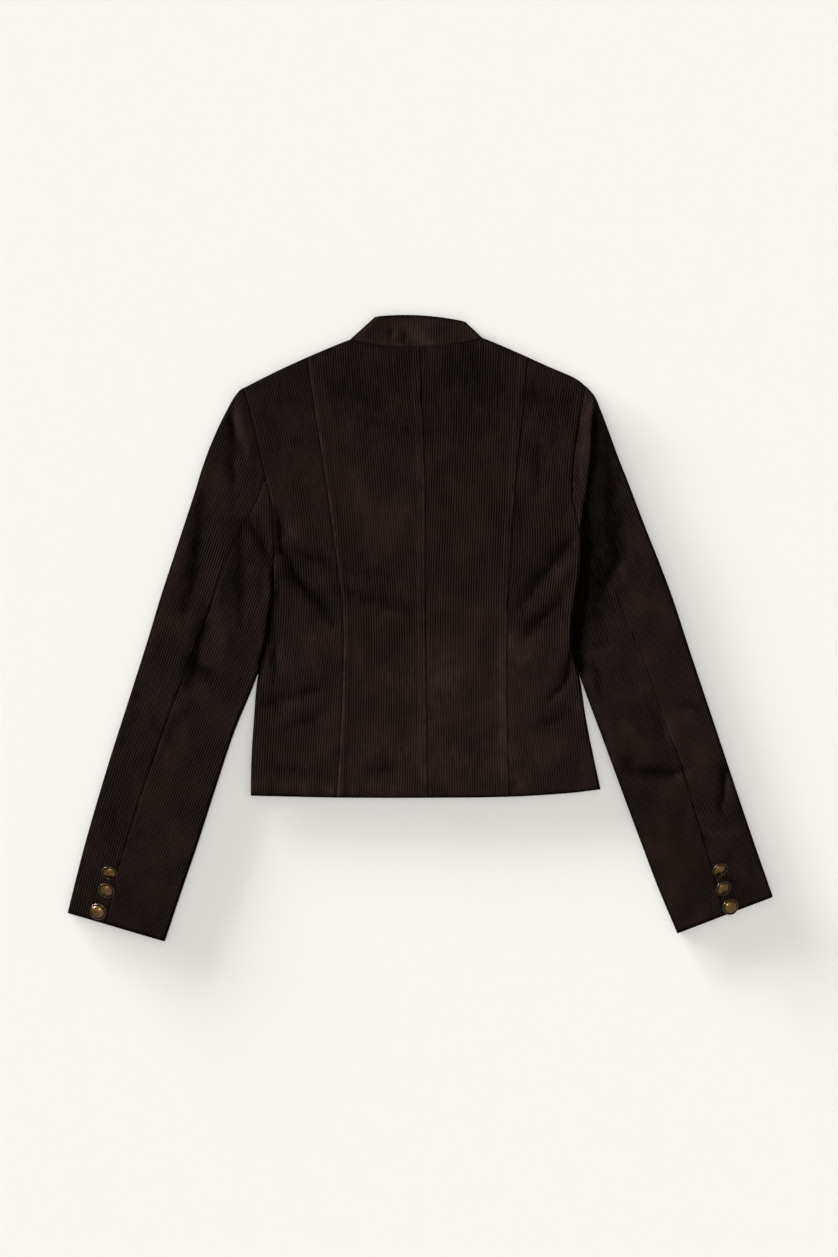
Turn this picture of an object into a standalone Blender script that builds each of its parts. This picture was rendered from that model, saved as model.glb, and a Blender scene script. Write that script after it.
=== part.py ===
"""A cropped corduroy jacket with a stand collar, laid flat on a surface with its back side up.

Lengths in the tables are millimetres, and everything else is metres. X runs to the wearer's right,
Y runs up towards the collar, and Z is up from the surface. The upper cloth is the back of the jacket
and the outer halves of the sleeves. The lower cloth is the fronts and the inner halves of the sleeves,
flat on the surface. Each piece is one wall of cloth, with a small gap to its neighbour at every seam.
"""

import math
from bisect import bisect_right

import bpy
from mathutils import Matrix, Vector

MM = 0.001
COLLECTION_NAME = "corduroy_jacket"

# Cloth
WALL = 2.0 * MM
SEAM_GAP = 0.3 * MM
LIE_HEIGHT = 7.9 * MM
LOWEST_UPPER_CLOTH = 5.3 * MM
SEAM_DIP = 0.6 * MM
SEAM_DIP_WIDTH = 3.0 * MM

# An edge where the upper cloth rolls over to meet the lower cloth
ROLL = 3.4 * MM
ROLL_STEPS = 4
OUTER_ROLL_STEPS = 6
ROLL_GAP = 1.5 * MM
LEVEL_STEP = (0.0, 0.0, 1.0)

# Shares of a sleeve's section that its seam dip, fold line, lip and roll may take where it is narrow
FOLD_PLACE_LIMITS = (0.25, 0.7)
NARROW_PART = 0.3
NARROW_ROLL = 0.4

# Level sections of the body. Each row gives where the outer edges and the back seams cross one level.
# Above the shoulders the edges only carry on their lines.
BODY_COLUMNS = ("level", "left_edge", "left_princess", "centre_back", "right_princess", "right_edge")
BODY_SECTIONS = (
    (-200.0, -190.0, -94.2, 7.5, 98.9, 205.6),
    (-147.8, -189.3, -90.9, 6.8, 97.4, 194.3),
    (-103.0, -186.5, -88.3, 6.4, 96.4, 185.4),
    (-58.2, -182.6, -86.6, 5.7, 96.2, 178.6),
    (-13.4, -172.7, -85.7, 5.2, 96.2, 169.5),
    (31.4, -166.0, -87.6, 4.9, 97.2, 173.0),
    (62.7, -164.1, -91.3, 4.6, 98.7, 178.4),
    (106.4, -164.1, -97.2, 4.9, 101.6, 177.9),
    (149.0, -168.6, -103.3, 4.7, 104.7, 169.7),
    (189.3, -178.6, -109.4, 3.8, 108.1, 171.4),
    (230.7, -187.6, -115.9, 1.9, 112.6, 178.1),
    (266.6, -197.7, -121.3, 0.0, 115.5, 185.7),
    (302.4, -209.0, -126.0, -0.9, 118.5, 193.5),
    (330.0, -218.0, -129.0, -1.6, 121.0, 199.5),
)

# Panels of the back, each between two lines of the body. Side says which side of the jacket it is on
# where one of its lines is the body's edge.
BACK_PANEL_COLUMNS = ("name", "left_line", "right_line", "side")
BACK_PANELS = (
    ("back_side_left", "left_edge", "left_princess", "left"),
    ("back_centre_left", "left_princess", "centre_back", ""),
    ("back_centre_right", "centre_back", "right_princess", ""),
    ("back_side_right", "right_princess", "right_edge", "right"),
)

# Level where each line of the body passes the armpits
ARMPIT_LEVEL = {
    "left_edge": 62.7,
    "left_princess": 70.0,
    "centre_back": 84.0,
    "right_princess": 98.0,
    "right_edge": 106.4,
}

# Hem, from left to right
HEM_COLUMNS = ("x", "level")
HEM = (
    (-190.0, -187.6),
    (-93.5, -189.7),
    (7.3, -189.9),
    (98.6, -188.8),
    (165.0, -184.8),
    (202.0, -180.4),
)

# Shoulders and neck
LEFT_TIP = (-198.2, 268.2)
LEFT_NECK = (-80.1, 322.0)
RIGHT_NECK = (70.0, 324.2)
RIGHT_TIP = (186.5, 270.5)
SHOULDER_BOW = 2.2
BACK_NECK_DIP = 7.9
CENTRE_FRONT = 4.0
CENTRE_FRONT_GAP = 0.6
FRONT_NECK_DEPTH = 73.0
FRONT_SHOULDER_SHARE = 0.5
SHOULDER_ROLL_FADE = 36.0

# Sections across the sleeves, from the shoulder tip to the cuff. Level is the height of the inner end.
# The inner end lies on the body's edge wherever inner_x is None. Elbow is the elbow seam's share of
# the way from the inner end to the outer end, and fold is that of the sleeve head's fold.
SLEEVE_COLUMNS = ("level", "inner_x", "outer_x", "outer_level", "elbow", "fold")
LEFT_SLEEVE = (
    (267.7, None, -205.0, 265.0, -0.20, 0.20),
    (248.6, None, -213.0, 250.6, -0.20, 0.50),
    (219.5, None, -225.5, 226.0, -0.20, 0.50),
    (193.8, None, -236.2, 201.2, -0.10, 0.50),
    (170.2, None, -245.2, 176.0, 0.00, 0.50),
    (149.0, None, -251.2, 156.2, 0.14, 0.55),
    (98.6, None, -262.6, 121.0, 0.40, 0.65),
    (57.1, None, -277.2, 76.2, 0.50, 0.72),
    (4.5, None, -291.8, 31.4, 0.55, 0.75),
    (-51.5, -182.6, -305.2, -13.4, 0.60, 0.80),
    (-117.6, -208.9, -326.5, -80.6, 0.61, 0.80),
    (-178.1, -229.0, -346.6, -143.4, 0.625, 0.80),
    (-244.2, -250.3, -367.9, -215.0, 0.635, 0.80),
    (-290.1, -266.0, -380.2, -259.8, 0.635, 0.80),
    (-350.6, -286.2, -394.8, -318.6, 0.61, 0.80),
)
RIGHT_SLEEVE = (
    (269.8, None, 193.6, 267.2, -0.20, 0.20),
    (249.8, None, 199.8, 249.6, -0.20, 0.64),
    (224.0, None, 210.0, 221.8, -0.20, 0.41),
    (185.9, None, 222.3, 188.2, -0.10, 0.345),
    (159.0, None, 231.3, 165.8, 0.00, 0.272),
    (127.7, None, 241.4, 138.9, 0.12, 0.20),
    (88.5, None, 254.8, 104.2, 0.27, 0.40),
    (49.3, None, 268.2, 70.6, 0.39, 0.55),
    (4.5, None, 282.8, 31.4, 0.50, 0.70),
    (-43.7, None, 297.4, -13.4, 0.585, 0.80),
    (-70.0, 183.8, 305.5, -38.0, 0.585, 0.80),
    (-115.9, 200.9, 319.8, -80.6, 0.585, 0.80),
    (-187.0, 227.0, 342.2, -147.8, 0.59, 0.80),
    (-240.2, 246.8, 360.1, -201.6, 0.565, 0.80),
    (-289.5, 265.4, 376.9, -250.9, 0.545, 0.80),
    (-341.6, 287.3, 394.2, -300.7, 0.50, 0.80),
)
SLEEVES = {"left": LEFT_SLEEVE, "right": RIGHT_SLEEVE}
SLEEVE_FREE_FROM = {"left": -51.5, "right": -50.0}
ARMPIT_FADE = 48.0
LEAST_UNDER_WIDTH = 7.0 * MM

# The right sleeve head is folded over the sleeve. Its fold line runs down to the armpit and on along
# the body's edge. The cloth stands up on the body's side of it and lies low beyond it.
RIGHT_FOLD_COLUMNS = ("level", "x")
RIGHT_FOLD = (
    (-60.0, 178.7),
    (-44.8, 174.5),
    (-13.4, 169.5),
    (31.4, 173.0),
    (62.7, 178.4),
    (106.4, 178.1),
    (134.4, 181.0),
    (161.3, 185.7),
    (193.8, 189.2),
    (230.7, 191.4),
    (255.4, 194.3),
    (275.0, 196.0),
)
FOLD_RISE = 1.3
FOLD_RISE_REACH = 9.0
FOLD_FALL = 2.0
FOLD_FALL_REACH = 14.0
FOLD_LIP = 3.0
FOLD_FADE = 22.0
FOLD_TOP_LEVEL = 262.0

# Largest folds of the upper cloth: the two ends of each, its half width, and its rise, which is
# negative where the fold is a trough
FOLD_COLUMNS = ("from_x", "from_level", "to_x", "to_level", "half_width", "rise")
FOLDS = (
    (-210.0, 246.0, -212.0, 188.0, 8.0, -1.3),
    (-212.0, 188.0, -247.0, 150.0, 9.0, -1.5),
    (-247.0, 150.0, -256.0, 60.0, 10.0, -1.2),
    (-258.0, 30.0, -300.0, -55.0, 11.0, -1.2),
    (-205.5, 240.0, -186.5, 178.0, 9.0, 1.0),
    (-188.0, 128.0, -173.0, 76.0, 9.0, -1.4),
    (-240.0, 8.0, -225.0, -32.0, 12.0, 1.3),
    (-258.0, -30.0, -235.0, -64.0, 11.0, -1.1),
    (-286.0, -118.0, -257.0, -155.0, 10.0, -0.9),
    (-155.0, 75.0, -138.0, 54.0, 10.0, -1.3),
    (-138.0, 54.0, -97.0, 14.0, 11.0, -1.3),
    (-168.0, -62.0, -146.0, -95.0, 11.0, -0.9),
    (-79.0, 20.0, -14.0, 10.0, 16.0, -0.8),
    (170.0, 91.0, 140.0, 62.0, 10.0, -1.3),
    (140.0, 62.0, 118.0, 36.0, 10.0, -1.2),
    (157.0, 29.0, 122.0, -6.0, 11.0, -1.1),
    (164.0, -46.0, 139.0, -86.0, 10.0, -1.2),
    (136.0, 222.0, 131.0, 161.0, 10.0, -0.8),
    (204.0, 170.0, 214.0, 96.0, 14.0, -1.0),
    (265.0, -91.0, 276.0, -117.0, 10.0, -1.1),
    (243.0, -161.0, 292.0, -159.0, 10.0, -1.1),
    (342.0, -150.0, 333.0, -198.0, 9.0, -1.2),
)
FOLD_END_STRENGTH = 0.6
FOLD_REACH = 2.5

# Stand collar, pressed flat: its free edge at the two side folds, and how far it sags between them
COLLAR_LEFT_FOOT = (-78.9, 323.6)
COLLAR_RIGHT_FOOT = (68.8, 325.8)
COLLAR_LEFT_TOP = (-51.0, 347.9)
COLLAR_RIGHT_TOP = (50.4, 342.3)
COLLAR_TOP_BOW = 4.6
COLLAR_FRONT_TOP_DEPTH = 65.0
COLLAR_SAG = 2.6
COLLAR_FOLD_REACH = 5.4
COLLAR_ROWS = 4
COLLAR_BACK_COLUMNS = 12
COLLAR_ROLL_COLUMNS = 6

# Cuff buttons, turned in metal. Each row gives the middle of a button's rim, and how many degrees it
# leans which way. A button that leans far rests on its rim, and the others on their shanks.
BUTTON_COLUMNS = ("name", "x", "level", "lean", "lean_towards")
BUTTONS = (
    ("cuff_button_left_1", -346.9, -273.6, 36.0, 255.0),
    ("cuff_button_left_2", -350.6, -293.2, 28.0, 250.0),
    ("cuff_button_left_3", -359.8, -316.6, 14.0, 225.0),
    ("cuff_button_right_1", 333.6, -270.4, 40.0, 305.0),
    ("cuff_button_right_2", 338.0, -290.8, 36.0, 310.0),
    ("cuff_button_right_3", 345.8, -311.2, 20.0, 320.0),
)

# Radii of a button and its heights above the foot of its shank
BUTTON_RADIUS = 9.5 * MM
BUTTON_RIM_RADIUS = 0.8 * MM
BUTTON_RIM_LEVEL = 4.6 * MM
BUTTON_DOME_RADIUS = 7.4 * MM
BUTTON_DOME_RISE = 3.0 * MM
BUTTON_FLOOR_LEVEL = 4.5 * MM
BUTTON_SHANK_RADIUS = 1.6 * MM
BUTTON_SHANK_HEIGHT = 3.4 * MM
BUTTON_SEAT_GAP = 0.3 * MM
BUTTON_DOME_STEPS = 4
BUTTON_RIM_DEGREES = (150, 90, 30, -30, -90)
BUTTON_TURN_STEPS = 20

# How finely the pieces are divided, and how often the meeting of two outlines is worked out
SIDE_ROWS = 11
ARMHOLE_ROWS = 10
BACK_COLUMNS = 6
FRONT_SHOULDER_COLUMNS = 4
FRONT_NECK_COLUMNS = 5
SLEEVE_TOP_COLUMNS = 4
SLEEVE_UNDER_COLUMNS = 4
SLEEVE_LOWER_COLUMNS = 4
MEETING_ROUNDS = 12

CLOTH_COLOUR = (0.017, 0.011, 0.009)
CLOTH_ROUGHNESS = 0.95
BUTTON_COLOUR = (0.33, 0.23, 0.11)
BUTTON_ROUGHNESS = 0.42


def smooth_line(places, values):
    """Return a function that runs smoothly through the values given at rising places."""
    last = len(places) - 1
    slopes = []
    for i in range(last + 1):
        before = max(i - 1, 0)
        after = min(i + 1, last)
        slopes.append((values[after] - values[before]) / (places[after] - places[before]))

    def value_at(place):
        place = min(max(place, places[0]), places[last])
        i = min(bisect_right(places, place), last) - 1
        span = places[i + 1] - places[i]
        t = (place - places[i]) / span
        start = (1 + 2 * t) * (1 - t) ** 2 * values[i] + t * (1 - t) ** 2 * span * slopes[i]
        end = t * t * (3 - 2 * t) * values[i + 1] - t * t * (1 - t) * span * slopes[i + 1]
        return start + end

    return value_at


def table_line(rows, columns, name, along):
    """Return a smooth function of the column called along, for the column called name."""
    pairs = sorted((row[columns.index(along)] * MM, row[columns.index(name)]) for row in rows)
    places = [place for place, _ in pairs]
    values = [value for _, value in pairs]
    return smooth_line(places, values)


def table_length_line(rows, columns, name, along):
    """The same for a column that holds lengths in millimetres."""
    line = table_line(rows, columns, name, along)
    return lambda place: line(place) * MM


def named_rows(rows, columns):
    """The rows of a table, each with its values by name."""
    return [dict(zip(columns, row)) for row in rows]


def ease(share):
    """Go from 0 to 1 with a soft start and end."""
    share = min(max(share, 0.0), 1.0)
    return share * share * (3 - 2 * share)


def mix(start, end, share):
    """Go from start to end."""
    return start + (end - start) * share


def point(pair):
    """A place in a table, as a plan vector in metres."""
    return Vector((pair[0] * MM, pair[1] * MM))


BODY_LINES = {
    name: table_length_line(BODY_SECTIONS, BODY_COLUMNS, name, "level") for name in BODY_COLUMNS[1:]
}
hem_level = table_length_line(HEM, HEM_COLUMNS, "level", "x")
right_fold_x = table_length_line(RIGHT_FOLD, RIGHT_FOLD_COLUMNS, "x", "level")
NAMED_FOLDS = named_rows(FOLDS, FOLD_COLUMNS)


def bowed_level(x, start, end, bow):
    """Height at x on a shallow arc between two points."""
    share = (x - start.x) / (end.x - start.x)
    return mix(start.y, end.y, share) + 4 * share * (1 - share) * bow


def back_top_level(x):
    """Upper outline of the back: shoulder, neckline, shoulder."""
    if x < LEFT_NECK[0] * MM:
        return bowed_level(x, point(LEFT_TIP), point(LEFT_NECK), SHOULDER_BOW * MM)
    if x > RIGHT_NECK[0] * MM:
        return bowed_level(x, point(RIGHT_NECK), point(RIGHT_TIP), SHOULDER_BOW * MM)
    return bowed_level(x, point(LEFT_NECK), point(RIGHT_NECK), -BACK_NECK_DIP * MM)


def front_neck_point(side_neck, depth, turn, centre):
    """A point of a quarter of an ellipse, from the side of the neck, turn 0, to centre front, turn 1."""
    angle = turn * math.pi / 2
    x = centre + (side_neck.x - centre) * math.cos(angle)
    return Vector((x, side_neck.y - depth * math.sin(angle)))


def shoulder_share(x):
    """1 on the shoulders, whose edge is rolled, and 0 at the neckline, fading beside the neck points."""
    outside = max(LEFT_NECK[0] * MM - x, x - RIGHT_NECK[0] * MM)
    return ease(outside / (SHOULDER_ROLL_FADE * MM))


def side_share(side, level):
    """1 beside the free edge of body and sleeve, and 0 up the armhole, fading below the armpit."""
    armpit = ARMPIT_LEVEL[side + "_edge"] * MM
    return ease((armpit - level) / (ARMPIT_FADE * MM))


def overlap_rise(x, level):
    """How the cloth stands up beside the right sleeve head's fold line and lies low beyond it. Below
    the armpit the whole fall is on the body's side of the line, and the sleeve lies low."""
    beyond = x - right_fold_x(level) + FOLD_LIP * MM * side_share("right", level)
    from_ends = min(level - RIGHT_FOLD[0][0] * MM, FOLD_TOP_LEVEL * MM - level)
    strength = ease(from_ends / (FOLD_FADE * MM))
    if beyond < 0:
        return strength * FOLD_RISE * MM * math.exp(beyond / (FOLD_RISE_REACH * MM))
    lip = ease(beyond / (FOLD_LIP * MM))
    low = -FOLD_FALL * MM * math.exp(-beyond / (FOLD_FALL_REACH * MM))
    return strength * mix(FOLD_RISE * MM, low, lip)


def fold_rise(x, level, fold):
    """Rise of one fold at a place: a soft bell across it, fading in and out along it."""
    start = point((fold["from_x"], fold["from_level"]))
    end = point((fold["to_x"], fold["to_level"]))
    run = end - start
    offset = Vector((x, level)) - start
    share = min(max(offset.dot(run) / run.length_squared, 0.0), 1.0)
    away = (offset - run * share).length / (fold["half_width"] * MM)
    if away > FOLD_REACH:
        return 0.0
    strength = mix(FOLD_END_STRENGTH, 1.0, 4 * share * (1 - share))
    return fold["rise"] * MM * math.exp(-away * away) * strength


def upper_height(x, level):
    """Height of the upper cloth's outer face, away from its seams and edges."""
    height = LIE_HEIGHT + overlap_rise(x, level)
    for fold in NAMED_FOLDS:
        height += fold_rise(x, level, fold)
    return max(height, LOWEST_UPPER_CLOTH)


def seam_dip(distance):
    """How far the cloth rolls down towards a seam."""
    away = min(distance / SEAM_DIP_WIDTH, 1.0)
    return SEAM_DIP * (1 - away) ** 2


def edge_steps():
    """Steps in from an edge: distance where the edge lies open, distance where it is rolled, and turn,
    which goes from 0 at the foot of the roll to 1 where it has come level."""
    steps = []
    for i in range(ROLL_STEPS + 1):
        turn = i / ROLL_STEPS
        steps.append((ROLL * turn, ROLL * (1 - math.cos(turn * math.pi / 2)), turn))
    return steps


def step_distance(step, share):
    """Distance of an edge step from the edge, where the edge is rolled by share."""
    return mix(step[0], step[1], share)


def rolled_height(start, turn, share, middle):
    """Height of a point on an edge that is rolled by share, from its start height towards the middle,
    where the upper and the lower cloth meet."""
    meet = middle + math.copysign(ROLL_GAP / 2, start - middle)
    return mix(start, mix(meet, start, math.sin(turn * math.pi / 2)), share)


def middle_height(place):
    """Height halfway up to the upper cloth at a plan place."""
    return upper_height(place.x, place.y) / 2


def coons(left, right, bottom, top, u, v):
    """A point of the surface that fills four plan curves."""
    across = left(v) * (1 - u) + right(v) * u
    along = bottom(u) * (1 - v) + top(u) * v
    lower = left(0.0) * (1 - u) + right(0.0) * u
    upper = left(1.0) * (1 - u) + right(1.0) * u
    return across + along - lower * (1 - v) - upper * v


def line_end(name, outline):
    """Height at which a line of the body meets the hem or the upper outline."""
    level = 0.0
    for _ in range(MEETING_ROUNDS):
        level = outline(BODY_LINES[name](level))
    return level


def body_curve(name, inset):
    """A line of the body from hem to top, moved sideways by inset. Both its pieces share its rows."""
    bottom = line_end(name, hem_level)
    top = line_end(name, back_top_level)
    armpit = ARMPIT_LEVEL[name] * MM
    armpit_share = SIDE_ROWS / (SIDE_ROWS + ARMHOLE_ROWS)

    def place(v):
        if v < armpit_share:
            level = mix(bottom, armpit, v / armpit_share)
        else:
            level = mix(armpit, top, (v - armpit_share) / (1 - armpit_share))
        return Vector((BODY_LINES[name](level) + inset, level))

    return place


def body_rows():
    """Rows of a body panel, from the hem up: share of the way, and step in from the upper outline."""
    count = SIDE_ROWS + ARMHOLE_ROWS
    rows = [(i / count, None) for i in range(count)]
    rows += [(1.0, step) for step in reversed(edge_steps())]
    return rows


def panel_columns(shares, side, upper):
    """Columns of a body panel: steps in from its left edge, shares of its width, steps in from its right
    edge. Side says which of its edges is the jacket's side, if either is."""
    seam = [(0.0, 0.0, 1.0)]
    if upper:
        seam.append((SEAM_DIP_WIDTH, SEAM_DIP_WIDTH, 1.0))
    columns = [("left", 0.0, step) for step in (edge_steps() if side == "left" else seam)]
    columns += [("between", share, LEVEL_STEP) for share in shares]
    columns += [("right", 0.0, step) for step in reversed(edge_steps() if side == "right" else seam)]
    return columns


def panel_rows(left, right, bottom, top, side, shares, upper):
    """Points of a body panel in rows from the hem up. Left, right, bottom and top are plan curves."""
    columns = panel_columns(shares, side, upper)
    rows = []
    for v, row_step in body_rows():
        width = (right(v) - left(v)).length
        edge = left(v) if side == "left" else right(v)
        free = side_share(side, edge.y) if side else 0.0
        row = []
        for end, share, step in columns:
            distance = step_distance(step, free)
            if end == "left":
                u = distance / width
            elif end == "right":
                u = 1 - distance / width
            else:
                u = share
            place = coons(left, right, bottom, top, u, v)
            shoulder = shoulder_share(place.x)
            if row_step:
                down = step_distance(row_step, shoulder) / (top(u).y - bottom(u).y)
                place = coons(left, right, bottom, top, u, 1 - down)
            height = 0.0
            if upper:
                open_left = (1 - free) if side == "left" else 1.0
                open_right = (1 - free) if side == "right" else 1.0
                dip = max(seam_dip(u * width) * open_left, seam_dip((1 - u) * width) * open_right)
                height = upper_height(place.x, place.y) - dip
            height = rolled_height(height, step[2], free, middle_height(edge))
            if row_step:
                height = rolled_height(height, row_step[2], shoulder, middle_height(top(u)))
            row.append(Vector((place.x, place.y, height)))
        rows.append(row)
    return rows


def back_panel(left_name, right_name, side):
    """Points of a panel of the back, between two lines of the body."""
    inset = SEAM_GAP / 2
    left = body_curve(left_name, inset)
    right = body_curve(right_name, -inset)
    shares = [i / BACK_COLUMNS for i in range(1, BACK_COLUMNS)]
    for neck_x in (LEFT_NECK[0] * MM, RIGHT_NECK[0] * MM):
        neck_share = (neck_x - left(1.0).x) / (right(1.0).x - left(1.0).x)
        if 0 < neck_share < 1:
            shares = sorted(shares + [neck_share])

    def bottom(u):
        x = mix(left(0.0).x, right(0.0).x, u)
        return Vector((x, hem_level(x)))

    def top(u):
        x = mix(left(1.0).x, right(1.0).x, u)
        return Vector((x, back_top_level(x) - inset * (1 - shoulder_share(x))))

    return panel_rows(left, right, bottom, top, side, shares, True)


def front_panel(side):
    """Points of a front. Its upper outline is the shoulder and then the front neckline."""
    sign = 1 if side == "left" else -1
    centre = (CENTRE_FRONT - sign * CENTRE_FRONT_GAP / 2) * MM
    neck = point(LEFT_NECK if side == "left" else RIGHT_NECK)
    edge = body_curve(side + "_edge", sign * SEAM_GAP / 2)
    neck_foot = neck.y - FRONT_NECK_DEPTH * MM - SEAM_GAP / 2

    def centre_line(v):
        return Vector((centre, mix(hem_level(centre), neck_foot, v)))

    def outline(share):
        if share < FRONT_SHOULDER_SHARE:
            x = mix(edge(1.0).x, neck.x, share / FRONT_SHOULDER_SHARE)
            return Vector((x, back_top_level(x)))
        turn = (share - FRONT_SHOULDER_SHARE) / (1 - FRONT_SHOULDER_SHARE)
        place = front_neck_point(neck, FRONT_NECK_DEPTH * MM, turn, centre)
        return place - Vector((0.0, SEAM_GAP / 2 * min(4 * turn, 1.0)))

    def hem(share):
        x = mix(edge(0.0).x, centre, share)
        return Vector((x, hem_level(x)))

    shares = [FRONT_SHOULDER_SHARE * i / FRONT_SHOULDER_COLUMNS for i in range(1, FRONT_SHOULDER_COLUMNS)]
    for i in range(FRONT_NECK_COLUMNS):
        shares.append(mix(FRONT_SHOULDER_SHARE, 1.0, i / FRONT_NECK_COLUMNS))
    if side == "left":
        return panel_rows(edge, centre_line, hem, outline, side, shares, False)
    mirrored = [1 - share for share in reversed(shares)]
    return panel_rows(
        centre_line, edge, lambda u: hem(1 - u), lambda u: outline(1 - u), side, mirrored, False
    )


def sleeve_lines(side):
    """The smooth lines of one sleeve, each a function of the level of its inner end."""
    sign = 1 if side == "left" else -1
    edge = BODY_LINES[side + "_edge"]
    filled = []
    for row in SLEEVES[side]:
        beside = edge(row[0] * MM) / MM
        filled.append((row[0], beside if row[1] is None else row[1]) + row[2:])
    inner = table_length_line(filled, SLEEVE_COLUMNS, "inner_x", "level")

    def inner_x(level):
        beside = edge(level) - sign * SEAM_GAP / 2
        if level > SLEEVE_FREE_FROM[side] * MM:
            return beside
        return sign * min(sign * beside, sign * inner(level))

    return {
        "inner_x": inner_x,
        "outer_x": table_length_line(filled, SLEEVE_COLUMNS, "outer_x", "level"),
        "outer_level": table_length_line(filled, SLEEVE_COLUMNS, "outer_level", "level"),
        "elbow": table_line(filled, SLEEVE_COLUMNS, "elbow", "level"),
        "fold": table_line(filled, SLEEVE_COLUMNS, "fold", "level"),
    }


def sleeve_levels(side):
    """Levels of the sleeve's rows, from the shoulder tip down. Beside the body they are the body's."""
    armpit = ARMPIT_LEVEL[side + "_edge"] * MM
    tip = line_end(side + "_edge", back_top_level)
    hem = line_end(side + "_edge", hem_level)
    cuff = SLEEVES[side][-1][0] * MM
    levels = [tip]
    levels += [mix(tip, armpit, i / ARMHOLE_ROWS) for i in range(1, ARMHOLE_ROWS + 1)]
    step = (armpit - hem) / SIDE_ROWS
    while levels[-1] - step > SLEEVE_FREE_FROM[side] * MM:
        levels.append(levels[-1] - step)
    start = levels[-1]
    count = round((start - cuff) / step)
    levels += [mix(start, cuff, i / count) for i in range(1, count + 1)]
    return levels


class SleeveSection:
    """One section across a sleeve, from its inner end to its outer fold."""

    def __init__(self, lines, side, level):
        self.inner = Vector((lines["inner_x"](level), level))
        outer = Vector((lines["outer_x"](level), lines["outer_level"](level)))
        self.width = (outer - self.inner).length
        self.toward = (outer - self.inner) / self.width
        self.elbow = lines["elbow"](level) * self.width
        self.fold = lines["fold"](level) * self.width
        self.free = side_share(side, level)

    def place(self, reach, height):
        """A point of the section, reach from its inner end."""
        plan = self.inner + self.toward * reach
        return Vector((plan.x, plan.y, height))

    def upper(self, reach):
        """Height of the upper cloth, reach from the inner end."""
        plan = self.inner + self.toward * reach
        return upper_height(plan.x, plan.y)


def sleeve_top(side):
    """Points of a top sleeve, in rows from the shoulder tip to the cuff. A row runs from the elbow seam
    or the armhole over the outer fold, and back under the sleeve to the forearm seam."""
    lines = sleeve_lines(side)
    rows = []
    for level in sleeve_levels(side):
        section = SleeveSection(lines, side, level)
        roll = min(ROLL, NARROW_ROLL * section.width)
        start = section.elbow + SEAM_GAP / 2 if section.elbow > 0 else 0.0
        end = section.width - roll
        nearest, farthest = (mix(start, end, share) for share in FOLD_PLACE_LIMITS)
        fold = min(max(section.fold, nearest), farthest)
        lip = min(FOLD_LIP * MM, NARROW_PART * (end - fold))
        dip = min(SEAM_DIP_WIDTH, NARROW_PART * (fold - start))
        reaches = [start, start + dip, (start + dip + fold) / 2, fold]
        reaches += [mix(fold + lip, end, i / SLEEVE_TOP_COLUMNS) for i in range(SLEEVE_TOP_COLUMNS)]
        row = [section.place(reach, section.upper(reach) - seam_dip(reach - start)) for reach in reaches]
        middle = section.upper(end) / 2
        for i in range(OUTER_ROLL_STEPS + 1):
            angle = math.pi / 2 * (1 - 2 * i / OUTER_ROLL_STEPS)
            row.append(section.place(end + roll * math.cos(angle), middle + middle * math.sin(angle)))
        inner_reach = min(ROLL, NARROW_PART * section.width)
        for i in range(1, SLEEVE_LOWER_COLUMNS):
            row.append(section.place(mix(end, inner_reach, i / SLEEVE_LOWER_COLUMNS), 0.0))
        for step in reversed(edge_steps()):
            reach = step_distance(step, section.free) * inner_reach / ROLL
            height = rolled_height(0.0, step[2], section.free, section.upper(0.0) / 2)
            row.append(section.place(reach, height))
        rows.append(row)
    return rows


def sleeve_under(side):
    """Points of an under sleeve, in rows from the armhole to the cuff. A row runs from the armhole or
    the free inner edge to the elbow seam."""
    lines = sleeve_lines(side)
    rows = []
    for level in sleeve_levels(side):
        section = SleeveSection(lines, side, level)
        end = section.elbow - SEAM_GAP / 2
        if end < LEAST_UNDER_WIDTH:
            continue
        scale = min(1.0, NARROW_ROLL * end / ROLL)
        dip = min(SEAM_DIP_WIDTH, NARROW_PART * end)
        steps = []
        for step in edge_steps():
            steps.append((step_distance(step, section.free) * scale, step[2]))
        for i in range(1, SLEEVE_UNDER_COLUMNS):
            steps.append((mix(ROLL * scale, end - dip, i / SLEEVE_UNDER_COLUMNS), 1.0))
        steps += [(end - dip, 1.0), (end, 1.0)]
        row = []
        for reach, turn in steps:
            dipped = max(seam_dip(end - reach), seam_dip(reach) * (1 - section.free))
            height = section.upper(reach) - dipped
            height = rolled_height(height, turn, section.free, section.upper(0.0) / 2)
            row.append(section.place(reach, height))
        rows.append(row)
    return rows


def collar_edge(side, along_seam):
    """Where one side fold of the collar meets its seam edge or its free edge."""
    if along_seam:
        return point(COLLAR_LEFT_FOOT if side == "left" else COLLAR_RIGHT_FOOT)
    return point(COLLAR_LEFT_TOP if side == "left" else COLLAR_RIGHT_TOP)


def collar_back_place(across, up):
    """A plan point of the collar's back part, across from the left fold to the right one."""
    low_left = collar_edge("left", True)
    low_right = collar_edge("right", True)
    high_left = collar_edge("left", False)
    high_right = collar_edge("right", False)
    reach = COLLAR_FOLD_REACH * MM
    low_x = mix(low_left.x + reach, low_right.x - reach, across)
    high_x = mix(high_left.x + reach, high_right.x - reach, across)
    low = Vector((low_x, back_top_level(low_x) + SEAM_GAP / 2))
    high = Vector((high_x, bowed_level(high_x, high_left, high_right, COLLAR_TOP_BOW * MM)))
    return low * (1 - up) + high * up


def collar_roll_place(side, angle, up):
    """A point of a side fold, whose angle goes from 0 on the back part to pi on the front part."""
    across = 0.0 if side == "left" else 1.0
    start = collar_back_place(across, up)
    fold = collar_edge(side, True) * (1 - up) + collar_edge(side, False) * up
    place = start + (fold - start) * math.sin(angle)
    half = LIE_HEIGHT / 2
    return Vector((place.x, place.y, half + half * math.cos(angle)))


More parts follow.
